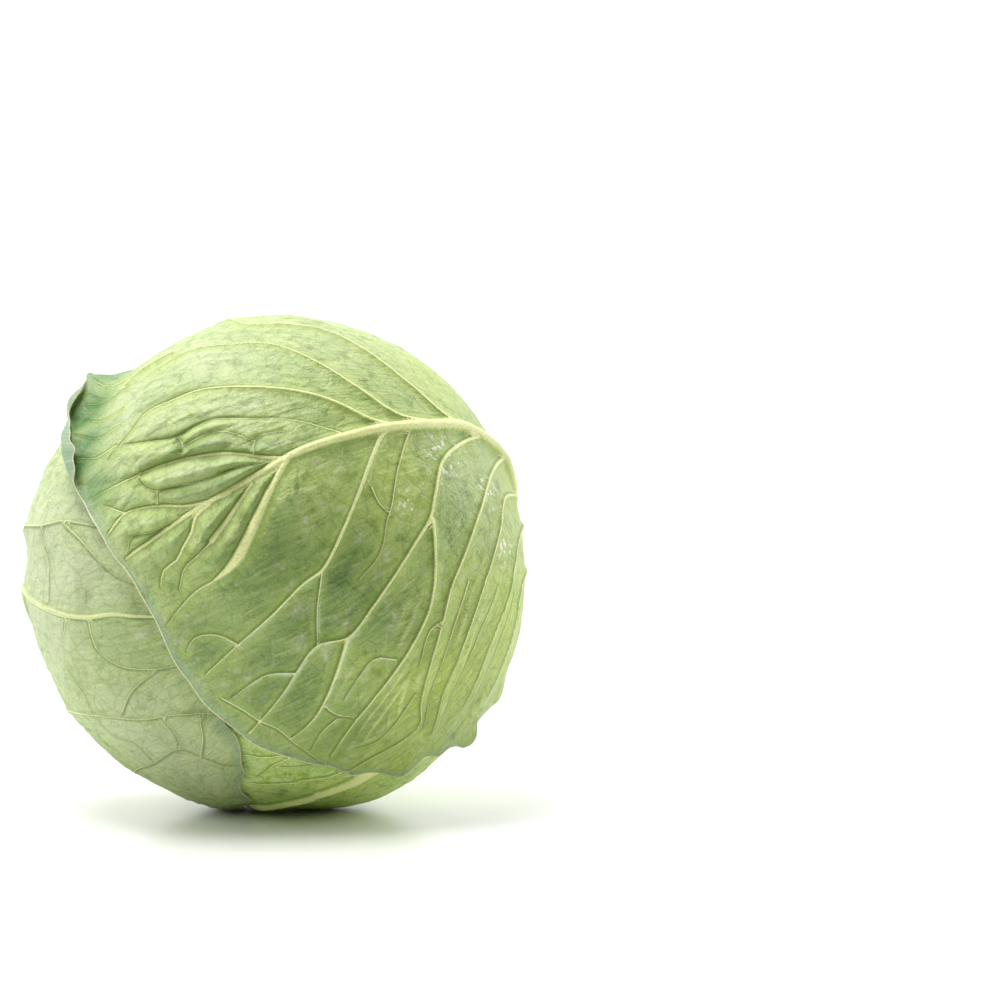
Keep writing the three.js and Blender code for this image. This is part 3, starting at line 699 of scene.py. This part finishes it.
def relief(leaf, rays, cells):
    """Height in mm of the veins and of the swellings between them, and what the material needs of them."""
    distance, half, crest, side = leaf.veins.near(rays)
    fold = np.maximum(distance - half, 0)
    share = np.minimum(distance / (VEIN_FLANK[0] + VEIN_FLANK[1] * half), 1)
    ridge = crest * (1 - share**2) ** 2
    puffed = strongest(rays, leaf.blisters)
    pleated = strongest(rays, leaf.pleated) if leaf.pleated else PLAIN_PLEATS
    from_ridge = leaf.ridges.near(rays)[0]
    tent = np.maximum(1 - from_ridge / leaf.tent[1], 0) ** 1.2
    tent *= leaf.tent[0] * (1 + 1.5 * pleated)
    turn = math.pi * (from_ridge + 0.9 * rumple(rays, 34, 8)) / PLEAT_PITCH
    patchy = smooth(-0.5, 0.5, rumple(rays, 30, 12))
    pleats = pleated * smooth(0.8, 2.4, fold) * patchy * np.cos(turn) ** 4
    soft = 0.35 * rumple(rays, 26, 5) + 0.15 * rumple(rays, 9, 6)
    pinch = mix(0.6, 1, smooth(0.15, 0.5, half)) * np.exp(-fold / PUFF_PINCH)
    blown = (PUFF_HEIGHT[0] + PUFF_HEIGHT[1] * cells + PUFF_HEIGHT[2] * soft) * (1 - pinch)
    calm = tent + 0.1 + 0.4 * soft + 0.2 * (1 - bell(fold, 3)) * cells + 1.1 * pleats
    height = mix(calm, blown, puffed) + ridge * mix(1, 0.6, puffed)
    painted = {
        "vein_side": np.clip(side * distance / half, -8, 8),
        "vein_near": np.clip(fold, 0, 9) * MM,
        "pleats": pleats,
        # painted shade: the pillows' undersides beside the veins, darkened with the deep green
        "under": puffed * bell(fold, 3.4) * (side > 0),
        # paler bloom on the pillows' crowns, partly a painted highlight on their tops
        "crown": puffed * smooth(1, 4, fold) * cells,
    }
    return height, puffed * blown, painted


def flare(leaf, rays, outside):
    """How far the blade bends away from the head towards its margin in mm, and the slope of that."""
    share = np.clip(1 + outside / FLARE_BAND, 0, 1)
    height = merged(rays, leaf.flares)
    return height * share**2, 2 * height * share / FLARE_BAND


def margin_lift(leaf, rays, outside):
    waves = np.sin(2 * np.pi * HEAD_RADIUS * rays / RUFFLE_PITCH).sum(1)
    lift = sum(influence(rays, leaf.lifts), RUFFLE * (3 + waves) / 6)
    return lift * smooth(-EDGE_BAND, 0, outside)


def margin_reach(leaf, azimuth):
    """The margin's angle from the leaf's middle at each azimuth, and the least of all its angles."""
    edge_azimuth, edge_angle = leaf.polar(leaf.margin)
    edge_azimuth = np.unwrap(edge_azimuth)
    if edge_azimuth[-1] < edge_azimuth[0]:
        edge_azimuth, edge_angle = edge_azimuth[::-1], edge_angle[::-1]
    edge_azimuth = np.maximum.accumulate(edge_azimuth)
    return np.interp(azimuth, edge_azimuth, edge_angle, period=2 * np.pi), edge_angle.min()


def roll(run, thickness, slope):
    """How far out and up from the margin's start blade goes that is rolled up for the last `run` mm."""
    turn = np.minimum(run / CURL_RADIUS, CURL_TURN)
    spare = np.maximum(run - turn * CURL_RADIUS, 0)
    out = CURL_RADIUS * np.sin(turn) + spare * np.cos(turn) + thickness * np.sin(turn)
    up = CURL_RADIUS * (1 - np.cos(turn)) + spare * np.sin(turn) + thickness * (1 - np.cos(turn))
    tilt = np.arctan(slope)
    return out * np.cos(tilt) - up * np.sin(tilt), out * np.sin(tilt) + up * np.cos(tilt)


def slab(outer, inner):
    """A closed flat slab of squares, 2 wide and 1 thick: `outer` squares across on top, `inner` below."""
    mesh = bmesh.new()
    bmesh.ops.create_grid(mesh, x_segments=outer, y_segments=outer, size=1)
    below = bmesh.ops.create_grid(
        mesh, x_segments=inner, y_segments=inner, size=1, matrix=Matrix.Translation((0, 0, -1))
    )
    faces = {face for vertex in below["verts"] for face in vertex.link_faces}
    bmesh.ops.reverse_faces(mesh, faces=list(faces))
    rims = [edge for edge in mesh.edges if edge.is_boundary]
    bmesh.ops.bridge_loops(mesh, edges=rims)
    bmesh.ops.recalc_face_normals(mesh, faces=mesh.faces[:])
    return mesh


def disc(x, y):
    """Radius and azimuth on a disc for places on the square, ring for ring."""
    wide = np.abs(x) >= np.abs(y)
    radius = np.where(wide, x, y)
    ratio = np.where(wide, y, x) / np.where(radius == 0, 1, radius)
    azimuth = np.where(wide, ratio, 2 - ratio) * math.pi / 4
    return np.abs(radius), np.where(radius < 0, azimuth + math.pi, azimuth)


def crowd_rim(radius, spare=0.6, width=0.02):
    """Draws the outermost rings of squares closer to the margin."""
    inward = 1 - radius
    spare *= width
    return 1 - (inward - spare * (1 - np.exp(-inward / width))) / (1 - spare * (1 - math.exp(-1 / width)))


def mesh_data(mesh, name):
    data = bpy.data.meshes.new(name)
    mesh.to_mesh(data)
    mesh.free()
    return data


def placed(name, data):
    """Adds an object to the scene."""
    thing = bpy.data.objects.new(name, data)
    bpy.context.scene.collection.objects.link(thing)
    return thing


def finished(mesh, name, slot, node, material):
    """Makes the mesh a smooth piece that replaces a node of the frame, and returns its data."""
    data = mesh_data(mesh, name)
    data.materials.append(material)
    data.polygons.foreach_set("use_smooth", np.ones(len(data.polygons), bool))
    piece = placed(name, data)
    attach(piece, "root")
    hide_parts(node)
    return data


def corners_of(data):
    places = np.empty(len(data.vertices) * 3, np.float32)
    data.vertices.foreach_get("co", places)
    return places.reshape(-1, 3).astype(float)


def place_corners(data, places):
    """Puts the mesh's corners at places in mm about the middle of the head."""
    data.vertices.foreach_set("co", (places * MM + np.array(MIDDLE)).astype(np.float32).ravel())
    data.update()


def paint(data, name, values):
    """Keeps a number or a vector for each corner, which the material reads by name."""
    kind, field = ("FLOAT", "value") if values.ndim == 1 else ("FLOAT_VECTOR", "vector")
    layer = data.attributes.new(name, kind, "POINT")
    layer.data.foreach_set(field, values.astype(np.float32).ravel())


def build_leaf(leaf, index, material):
    data = finished(slab(*leaf.grid), leaf.name + "_blade", leaf.slot, leaf.name, material)
    flat = corners_of(data)
    inner = flat[:, 2] < -0.5
    radius, azimuth = disc(flat[:, 0], flat[:, 1])
    share = np.where(inner, 1 - (1 - radius) ** 1.5, crowd_rim(radius))

    # Each point's angle from the leaf's middle. The last stretch of blade is rolled up: `run` mm to a point.
    reach, nearest = margin_reach(leaf, azimuth)
    edge = leaf.from_polar(azimuth, reach)
    curl = merged(edge, leaf.curls) * (1 + 0.12 * rumple(edge, 10, 4))
    lip = LIP * (leaf.lip[0] + leaf.lip[1] * rumple(edge, 17, 21))
    rolled = np.maximum(CURL_REACH * curl, lip)
    reach = reach + np.maximum(rolled - CURL_RADIUS, 0) / HEAD_RADIUS
    even = EVEN_RINGS * nearest
    angle = share * (even + (reach - even) * share**2)
    depth = (reach - angle) * HEAD_RADIUS
    run = np.maximum(rolled - depth, 0)
    angle = np.minimum(angle, reach - rolled / HEAD_RADIUS)
    rays = leaf.from_polar(azimuth, angle)

    # The blade's radius, and on its outer face the relief on top.
    base, open_ = setting(index, rays)
    outside = leaf.outside(rays)
    height, puffed, painted = relief(leaf, rays, pillows(rays, 11 + index))
    flared, slope = flare(leaf, rays, outside)
    blade = rest_radius(rays, base + open_ * (margin_lift(leaf, rays, outside) + flared))
    hug = HUG * open_ * (1 - smooth(0, HUG_BAND, -outside)) * (1 - np.minimum(curl, 1))
    blade = rest_radius(rays, blade - hug)
    off_margin = smooth(0, RELIEF_FADE, depth)
    thickness = mix(EDGE_BLADE, BLADE, smooth(0, EDGE_THINNING, depth))
    outer = blade + open_ * height * off_margin - 0.2 * (1 - smooth(0, 0.6, depth))
    floor = MIDDLE.z / MM / np.maximum(-rays[:, 2], 1e-6)
    beneath = (rays[:, 2] < 0) & (floor * np.hypot(rays[:, 0], rays[:, 1]) < REST_REACH)
    outer = np.where(beneath, mix(outer, floor, open_), rest_radius(rays, outer))
    places = rays * np.where(inner, blade - thickness, outer)[:, None]
    hang = UP - rays * (rays @ UP)[:, None]
    places -= hang * (PUFF_LEAN * puffed * open_ * off_margin * ~inner)[:, None]

    out, up = roll(run, np.where(inner, thickness, 0), slope)
    ring = unit(edge - leaf.middle * (edge @ leaf.middle)[:, None])
    outward = np.cos(angle)[:, None] * ring - np.sin(angle)[:, None] * leaf.middle
    places += (outward * out[:, None] + rays * up[:, None]) * (open_ * (run > 0))[:, None]
    place_corners(data, places)

    zero = np.zeros(len(rays))
    plane = np.column_stack([np.cos(azimuth), np.sin(azimuth), zero])
    sideways = unit(np.cross(leaf.pole, leaf.middle))
    fan = np.arctan2(rays @ sideways, rays @ np.cross(sideways, leaf.pole))
    from_base = np.arccos(np.clip(rays @ leaf.pole, -1, 1))
    painted["leaf_plane"] = plane * (angle * HEAD_RADIUS * MM)[:, None]
    painted["fan"] = np.column_stack([fan * FAN_WIDTH, from_base * HEAD_RADIUS * MM, zero])
    painted["to_margin"] = depth * MM
    painted["inner_face"] = inner.astype(float)
    for name, patches in PATCHES.items():
        painted[name] = strongest(rays, patches)
    for name, values in painted.items():
        paint(data, name, values)


class Shader:
    """The nodes of a material or of the world, under construction."""

    def __init__(self, owner):
        self.owner = owner
        owner.use_nodes = True
        self.tree = owner.node_tree
        self.tree.nodes.clear()

    def node(self, kind, inputs=(), output=0, **settings):
        """Adds a node, sets or links its inputs by name or number, and returns one of its outputs."""
        node = self.tree.nodes.new("ShaderNode" + kind)
        for name, value in settings.items():
            setattr(node, name, value)
        for name, value in dict(inputs).items():
            socket = node.inputs[name]
            if isinstance(value, bpy.types.NodeSocket):
                self.tree.links.new(value, socket)
            else:
                socket.default_value = (*value, 1) if socket.type == "RGBA" else value
        return node.outputs[output] if node.outputs else None

    def value(self, name):
        return self.node("Attribute", output="Fac", attribute_name=name)

    def vector(self, name):
        return self.node("Attribute", output="Vector", attribute_name=name)

    def math(self, operation, a, b=0.0, clamp=False):
        return self.node("Math", {0: a, 1: b}, operation=operation, use_clamp=clamp)

    def times(self, a, b, clamp=False):
        return self.math("MULTIPLY", a, b, clamp)

    def ramp(self, value, low, high, start=0.0, end=1.0):
        """A smooth step from start to end as the value goes from low to high."""
        inputs = {"Value": value, "From Min": low, "From Max": high, "To Min": start, "To Max": end}
        return self.node("MapRange", inputs, interpolation_type="SMOOTHSTEP")

    def mixed(self, share, a, b, blend="MIX"):
        return self.node("Mix", {0: share, 6: a, 7: b}, output=2, data_type="RGBA", blend_type=blend)

    def noise(self, place, scale, detail=2.0, rough=0.5):
        inputs = {"Vector": place, "Scale": scale, "Detail": detail, "Roughness": rough}
        return self.node("TexNoise", inputs, output="Fac")

    def borders(self, place, scale):
        """Distance to the borders of random cells."""
        inputs = {"Vector": place, "Scale": scale}
        return self.node("TexVoronoi", inputs, output="Distance", feature="DISTANCE_TO_EDGE")

    def bump(self, height, distance):
        return self.node("Bump", {"Height": height, "Distance": distance})

    def finish(self, **sockets):
        inputs = {name.replace("_", " "): value for name, value in sockets.items()}
        self.node("OutputMaterial", {"Surface": self.node("BsdfPrincipled", inputs)})
        return self.owner


def new_material(name):
    return Shader(bpy.data.materials.new(name))


def linear(code):
    """A colour for a shader from its six hex digits."""
    values = [int(code[start : start + 2], 16) / 255 for start in (0, 2, 4)]
    return [value / 12.92 if value <= 0.04045 else ((value + 0.055) / 1.055) ** 2.4 for value in values]


def colour(code, name, description):
    return FloatVectorProperty(
        name=name, description=description, subtype="COLOR", size=3, min=0, max=1, default=linear(code)
    )


class LeafLook(bpy.types.PropertyGroup):
    """Colours and finish of the wrapper leaves."""

    green: colour("9eb76a", "Green", "Blade in the middle of a leaf")
    # darker green of the blade, also used for painted shade
    deep: colour("4d6f27", "Deep green", "Darker patches of the blade, and painted shade")
    golden: colour("b4ca60", "Golden green", "Blade near the stem and where light comes through")
    bloom: colour("bfc8a4", "Bloom", "Wax on the outer parts of a leaf")
    vein: colour("ebf0a8", "Veins", "Midrib and veins")
    margin: colour("dfdcb2", "Margin", "The dry edge of a leaf")
    # painted bluish highlight on the lower side of the veins
    vein_glint: colour("bcd2c0", "Wax", "Bluish wax beside the veins")
    # painted shade, multiplied in behind the curled margin
    cool: colour("7cae93", "Lip", "Painted shade, darker and bluer, behind the curled margin")
    scars: colour("f8f2ea", "Scars", "Small dry marks")
    inside: colour("8fa688", "Inner face", "The face towards the heart")


class HeadSizes(bpy.types.PropertyGroup):
    """Sizes of the head that can be changed without leaving the frame."""

    bump: FloatProperty(
        name="Fine relief", description="Height of the finest wrinkles", unit="LENGTH", default=0.0006, min=0
    )
    steps: IntProperty(name="Stump steps", description="Sides of the cut stem", default=120, min=24)


def power(name, description, watts):
    return FloatProperty(name=name, description=description, default=watts, min=0, unit="POWER")


class StudioLook(bpy.types.PropertyGroup):
    """The plain floor and the soft light around the head."""

    floor: colour("f4f5f2", "Floor", "Glossy white table top")
    side_light: power("Side light", "Power of each light at the side", 8)
    top_light: power("Top light", "Power of the light above", 14.5)


def leaf_material(name, look, bloom_gain, golden_gain, vein_gain, lightness_and_fill, wrinkles):
    shader = new_material(name)
    value, ramp, times, mixed, noise = shader.value, shader.ramp, shader.times, shader.mixed, shader.noise
    plane = shader.vector("leaf_plane")
    fan = shader.vector("fan")
    mottle = noise(plane, 150, 5, 0.62)
    clouds = noise(plane, 38, 4, 0.55)

    # Broad patches, one of the deep ones painted shade, and the bloom with its haze; the bloom also lies
    # paler on the pillows' crowns, partly as a painted highlight.
    golden = times(value("golden"), golden_gain, clamp=True)
    plain = ramp(golden, 0, 1, 1, 0.2)
    bloom = times(shader.math("MAXIMUM", value("bloom"), value("crown")), ramp(clouds, 0.3, 0.7, 0.6, 1))
    bloom = times(bloom, bloom_gain, clamp=True)
    # darker green patches, one of them painted shade beside the front leaf's margin
    deep = times(value("deep"), ramp(mottle, 0.35, 0.6, 0.45, 1), clamp=True)
    haze = times(ramp(mottle, 0.48, 0.72, 0, plain), ramp(clouds, 0.4, 0.62))
    haze = times(haze, ramp(bloom, 0, 1, 0.8, 0.3))
    dark = times(ramp(mottle, 0.3, 0.5, 0.65, 0), ramp(bloom, 0, 1, plain, 0.15))

    # Streaks that run away from the leaf's base.
    streaks = noise(shader.node("Mapping", {"Vector": fan, "Scale": (1, 0.09, 1)}), 900, 3)
    from_base = shader.node("SeparateXYZ", {"Vector": fan}, output="Y")
    streaked = shader.math("ADD", times(value("golden"), 0.3), 0.2, clamp=True)
    streaked = times(ramp(streaks, 0.4, 0.75), streaked)
    streaked = times(streaked, ramp(from_base, 0.02, 0.06))

    # The finest veins: borders of cells, dark beside a pale middle.
    drift = shader.node("TexNoise", {"Vector": plane, "Scale": 90}, output="Color")
    drift = shader.node("VectorMath", {0: drift, "Scale": 0.006}, operation="SCALE")
    bent = shader.node("VectorMath", {0: plane, 1: drift}, operation="ADD")
    border = shader.borders(bent, 105)
    beside_net = ramp(border, 0.03, 0.13, 1, 0)
    fine_net = ramp(shader.borders(bent, 330), 0.0, 0.1, 1, 0)

    # The drawn veins: a pale line, with painted shade beside it, stronger on its upper side, and a painted
    # bluish highlight on its lower side.
    signed = value("vein_side")
    vein_side = shader.math("ABSOLUTE", signed)
    vein_near = value("vein_near")
    close = ramp(vein_near, 0.0006, 0.0012, 1, 0)
    line = times(ramp(vein_side, 0.5, 1.2, ramp(bloom, 0.2, 0.9, 1, 0.55), 0), close)
    beside = times(ramp(vein_side, 0.7, 1.3), ramp(vein_near, 0.0002, 0.0015, 1, 0))
    upper = ramp(signed, -0.5, 0.5)
    # painted bluish highlight on the lower side of the veins, within the glint patches
    vein_glint = times(times(beside, ramp(upper, 0, 1, 0.9, 0)), times(value("wax"), ramp(mottle, 0.35, 0.52)))

    tint = mixed(ramp(clouds, 0.38, 0.62, 0, 0.55), look.green, look.golden)
    for share, layer in (
        (golden, look.golden),
        (bloom, look.bloom),
        (deep, look.deep),
        (haze, look.bloom),
        (dark, look.deep),
        (streaked, look.vein),
        (ramp(value("pleats"), 0.15, 0.8, 0, 0.5), look.vein),
        (times(beside_net, 0.06), look.deep),
        (times(ramp(border, 0.0, 0.05, 1, 0), 0.2), look.deep),
        (times(fine_net, 0.05), look.deep),
        # painted shade on the pillows' undersides
        (times(value("under"), 0.85), look.deep),
        (ramp(vein_near, 0.0005, 0.004, 0.35 * golden_gain, 0), look.golden),
        # painted shade beside the veins, stronger on their upper side
        (times(beside, ramp(upper, 0, 1, 0.15, 0.6)), look.deep),
        (vein_glint, look.vein_glint),
        (times(line, vein_gain), mixed(ramp(golden, 0.3, 1, 0, 0.35), look.vein, look.golden)),
    ):
        tint = mixed(share, tint, layer)

    # Painted shade darkens and blues the pocket behind the curled margin. The inner face is bluer and duller,
    # and the margin is a thin dry line.
    cool = times(value("cool"), ramp(mottle, 0.3, 0.6, 0.7, 1), clamp=True)
    tint = mixed(cool, tint, look.cool, blend="MULTIPLY")
    rim = value("to_margin")
    for share, layer in (
        (times(value("inner_face"), 0.85), look.inside),
        (ramp(rim, 0.0004, 0.006, 0.55, 0), look.inside),
        (ramp(rim, 0.0001, 0.0005, 1, 0), look.margin),
        (times(ramp(noise(plane, 330, 1), 0.6, 0.62), value("scars")), look.scars),
    ):
        tint = mixed(share, tint, layer)
    # on the bottom leaf the lightness is partly painted light against the shade under the head
    grain = ramp(noise(plane, 1100, 3, 0.7), 0.3, 0.7, 0.86 * lightness_and_fill, 1.12 * lightness_and_fill)
    tint = shader.node("HueSaturation", {"Color": tint, "Value": grain})

    # Fine relief: ridges of veins and net, pleats along the fan, and skin.
    height = times(times(ramp(vein_side, 0.2, 1.15, 1, 0), close), 0.5)
    for part, gain in (
        (beside, -0.2),
        (beside_net, -0.15),
        (fine_net, -0.1),
        (streaks, 0.9),
        (mottle, 0.8),
        (noise(plane, 420, 4, 0.65), 0.8),
        (noise(plane, 1800, 2), 0.12),
    ):
        height = shader.math("ADD", height, times(part, gain))
    return shader.finish(
        Base_Color=tint,
        Roughness=ramp(clouds, 0.3, 0.7, 0.38, 0.5),
        Normal=shader.bump(height, bpy.context.scene.cabbage_sizes.bump * wrinkles),
        Subsurface_Weight=0.1,
        Subsurface_Radius=(0.8, 1.0, 0.3),
        Subsurface_Scale=0.002,
        Specular_IOR_Level=0.4,
    )


def heart_material(look):
    shader = new_material("heart_leaf")
    place = shader.node("TexCoord", output="Object")
    pale = shader.mixed(shader.ramp(shader.noise(place, 30, 4), 0.3, 0.7), look.golden, look.vein)
    bump = shader.bump(shader.noise(place, 120, 4), 0.0004)
    return shader.finish(Base_Color=pale, Roughness=0.5, Normal=bump)


def stem_material():
    """Pale core, firmer ring and skin, with dry patches."""
    shader = new_material("cut_stem")
    place = shader.node("TexCoord", output="Object")
    across = shader.value("from_axis")
    tone = shader.mixed(shader.ramp(across, 0.45, 0.62), linear("dfe3b8"), linear("c4cf90"))
    tone = shader.mixed(shader.ramp(across, 0.8, 0.95), tone, linear("b9c98a"))
    dry = shader.ramp(shader.noise(place, 180, 5, 0.65), 0.5, 0.72)
    tone = shader.mixed(shader.times(dry, 0.6), tone, linear("a58a5c"))
    bump = shader.bump(shader.noise(place, 400, 4), 0.0006)
    return shader.finish(Base_Color=tone, Roughness=0.6, Normal=bump)


class CABBAGE_OT_leaves(bpy.types.Operator):
    """Builds the five wrapper leaves, each as one closed blade."""

    bl_idname = "cabbage.leaves"
    bl_label = "Wrapper leaves"

    def execute(self, context):
        for index, leaf in enumerate(LEAVES):
            name, *gains = FINISHES[leaf.name]
            build_leaf(leaf, index, leaf_material(name, context.scene.cabbage_leaf_look, *gains))
        return {"FINISHED"}


class CABBAGE_OT_heart(bpy.types.Operator):
    """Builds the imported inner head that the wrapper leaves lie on."""

    bl_idname = "cabbage.heart"
    bl_label = "Heart"

    def execute(self, context):
        mesh = bmesh.new()
        bmesh.ops.create_icosphere(mesh, subdivisions=6, radius=1)
        material = heart_material(context.scene.cabbage_leaf_look)
        data = finished(mesh, "heart_ball", "heart", "heart", material)
        rays = unit(corners_of(data))
        radius = setting(len(LEAVES), rays)[0] - HEART_GAP
        radius += 0.3 * rumple(rays, 30, 3)
        along = rays @ STEM
        seat = np.where(along > 0.5, (STUMP_START - STUMP_GAP) / np.maximum(along, 0.5), np.inf)
        place_corners(data, rays * np.minimum(radius, seat)[:, None])
        return {"FINISHED"}


class CABBAGE_OT_stump(bpy.types.Operator):
    """Builds the cut stem, with its pale core in the cut face."""

    bl_idname = "cabbage.stump"
    bl_label = "Cut stem"

    def execute(self, context):
        steps = context.scene.cabbage_sizes.steps
        profile = [(STUMP_RADIUS - inset, STUMP_START + up) for inset, up in STUMP_FOOT]
        profile += [(STUMP_RADIUS - inset, STUMP_END - down) for inset, down in STUMP_SIDE + STUMP_FACE]
        mesh = bmesh.new()
        chain = [mesh.verts.new((radius, 0, height)) for radius, height in profile]
        edges = [mesh.edges.new(pair) for pair in zip(chain, chain[1:])]
        whole = 2 * math.pi
        bmesh.ops.spin(mesh, geom=chain + edges, axis=(0, 0, 1), angle=whole, steps=steps, use_merge=True)
        bmesh.ops.remove_doubles(mesh, verts=mesh.verts[:], dist=1e-4)
        bmesh.ops.recalc_face_normals(mesh, faces=mesh.faces[:])
        data = finished(mesh, "cut_stem", "cut_stem", "stem_stump", stem_material())
        local = corners_of(data)
        azimuth = np.arctan2(local[:, 1], local[:, 0])
        across = np.hypot(local[:, 0], local[:, 1])
        lobes = 0.35 * np.sin(5 * azimuth + 0.6) + 0.2 * np.sin(13 * azimuth)
        local[:, :2] *= 1 + (lobes * across / STUMP_RADIUS**2)[:, None]
        side = unit(np.cross(STEM, [0, 0, 1]))
        local = local[:, :1] * side + local[:, 1:2] * np.cross(STEM, side) + local[:, 2:] * STEM
        place_corners(data, local)
        paint(data, "from_axis", across / STUMP_RADIUS)
        return {"FINISHED"}


def looking(name, data, place, target):
    """Adds a light or a camera at a place in metres, turned to its target."""
    thing = placed(name, data)
    thing.location = place
    thing.rotation_euler = (target - thing.location).to_track_quat("-Z", "Y").to_euler()
    return thing


class CABBAGE_OT_stage(bpy.types.Operator):
    """Sets up the floor, the soft lights and the camera."""

    bl_idname = "cabbage.stage"
    bl_label = "Floor, lights and camera"

    def execute(self, context):
        look = context.scene.cabbage_studio
        mesh = bmesh.new()
        bmesh.ops.create_grid(mesh, x_segments=8, y_segments=8, size=2)
        floor = placed("table_top", mesh_data(mesh, "table_top"))
        gloss = new_material("glossy_white_table").finish(Base_Color=look.floor, Roughness=0.25, IOR=1.3)
        floor.data.materials.append(gloss)

        # A white surround, brighter behind the head than in front of it.
        world = Shader(bpy.data.worlds.new("white_studio"))
        context.scene.world = world.owner
        place = world.node("TexCoord", output="Generated")
        depth = world.node("SeparateXYZ", {"Vector": place}, output="Y")
        brightness = world.ramp(depth, -0.5, 0.5, 0.09, 1.4)
        light = world.node("Background", {"Color": (1, 1, 1), "Strength": brightness})
        world.node("OutputWorld", {"Surface": light})
        for name, (place, size, setting_name) in SOFTBOXES.items():
            lamp = bpy.data.lights.new(name, "AREA")
            lamp.shape = "RECTANGLE"
            lamp.size, lamp.size_y = size
            lamp.energy = getattr(look, setting_name)
            looking(name, lamp, place, MIDDLE)

        camera = bpy.data.cameras.new("camera")
        camera.lens = 108
        camera.sensor_width = 36
        camera.clip_end = 50
        eye = MIDDLE + Vector(FRONT) * EYE_DISTANCE * MM
        aim = MIDDLE + (Vector(RIGHT) * CAMERA_AIM[0] + Vector(UP) * CAMERA_AIM[1]) * MM
        context.scene.camera = looking("camera", camera, eye, aim)
        context.scene.view_settings.view_transform = "Standard"
        return {"FINISHED"}


class CABBAGE_PT_panel(bpy.types.Panel):
    """Lists what builds the head, and what can be changed."""

    bl_label = "Cabbage head"
    bl_space_type = "VIEW_3D"
    bl_region_type = "UI"
    bl_category = "Cabbage"

    def draw(self, context):
        for operator in OPERATORS:
            self.layout.operator(operator.bl_idname)
        for settings in GROUPS:
            group = getattr(context.scene, settings)
            for name in group.bl_rna.properties.keys():
                if name not in ("rna_type", "name"):
                    self.layout.prop(group, name)


OPERATORS = (CABBAGE_OT_leaves, CABBAGE_OT_heart, CABBAGE_OT_stump, CABBAGE_OT_stage)
GROUPS = {"cabbage_leaf_look": LeafLook, "cabbage_sizes": HeadSizes, "cabbage_studio": StudioLook}


def register():
    for item in (*GROUPS.values(), *OPERATORS, CABBAGE_PT_panel):
        bpy.utils.register_class(item)
    for name, group in GROUPS.items():
        setattr(bpy.types.Scene, name, PointerProperty(type=group))


def unregister():
    for name in GROUPS:
        delattr(bpy.types.Scene, name)
    for item in (CABBAGE_PT_panel, *reversed(OPERATORS), *reversed(GROUPS.values())):
        bpy.utils.unregister_class(item)


def main():
    register()
    bpy.ops.cabbage.leaves()
    bpy.ops.cabbage.heart()
    bpy.ops.cabbage.stump()
    bpy.ops.cabbage.stage()


if __name__ == "__main__":
    main()
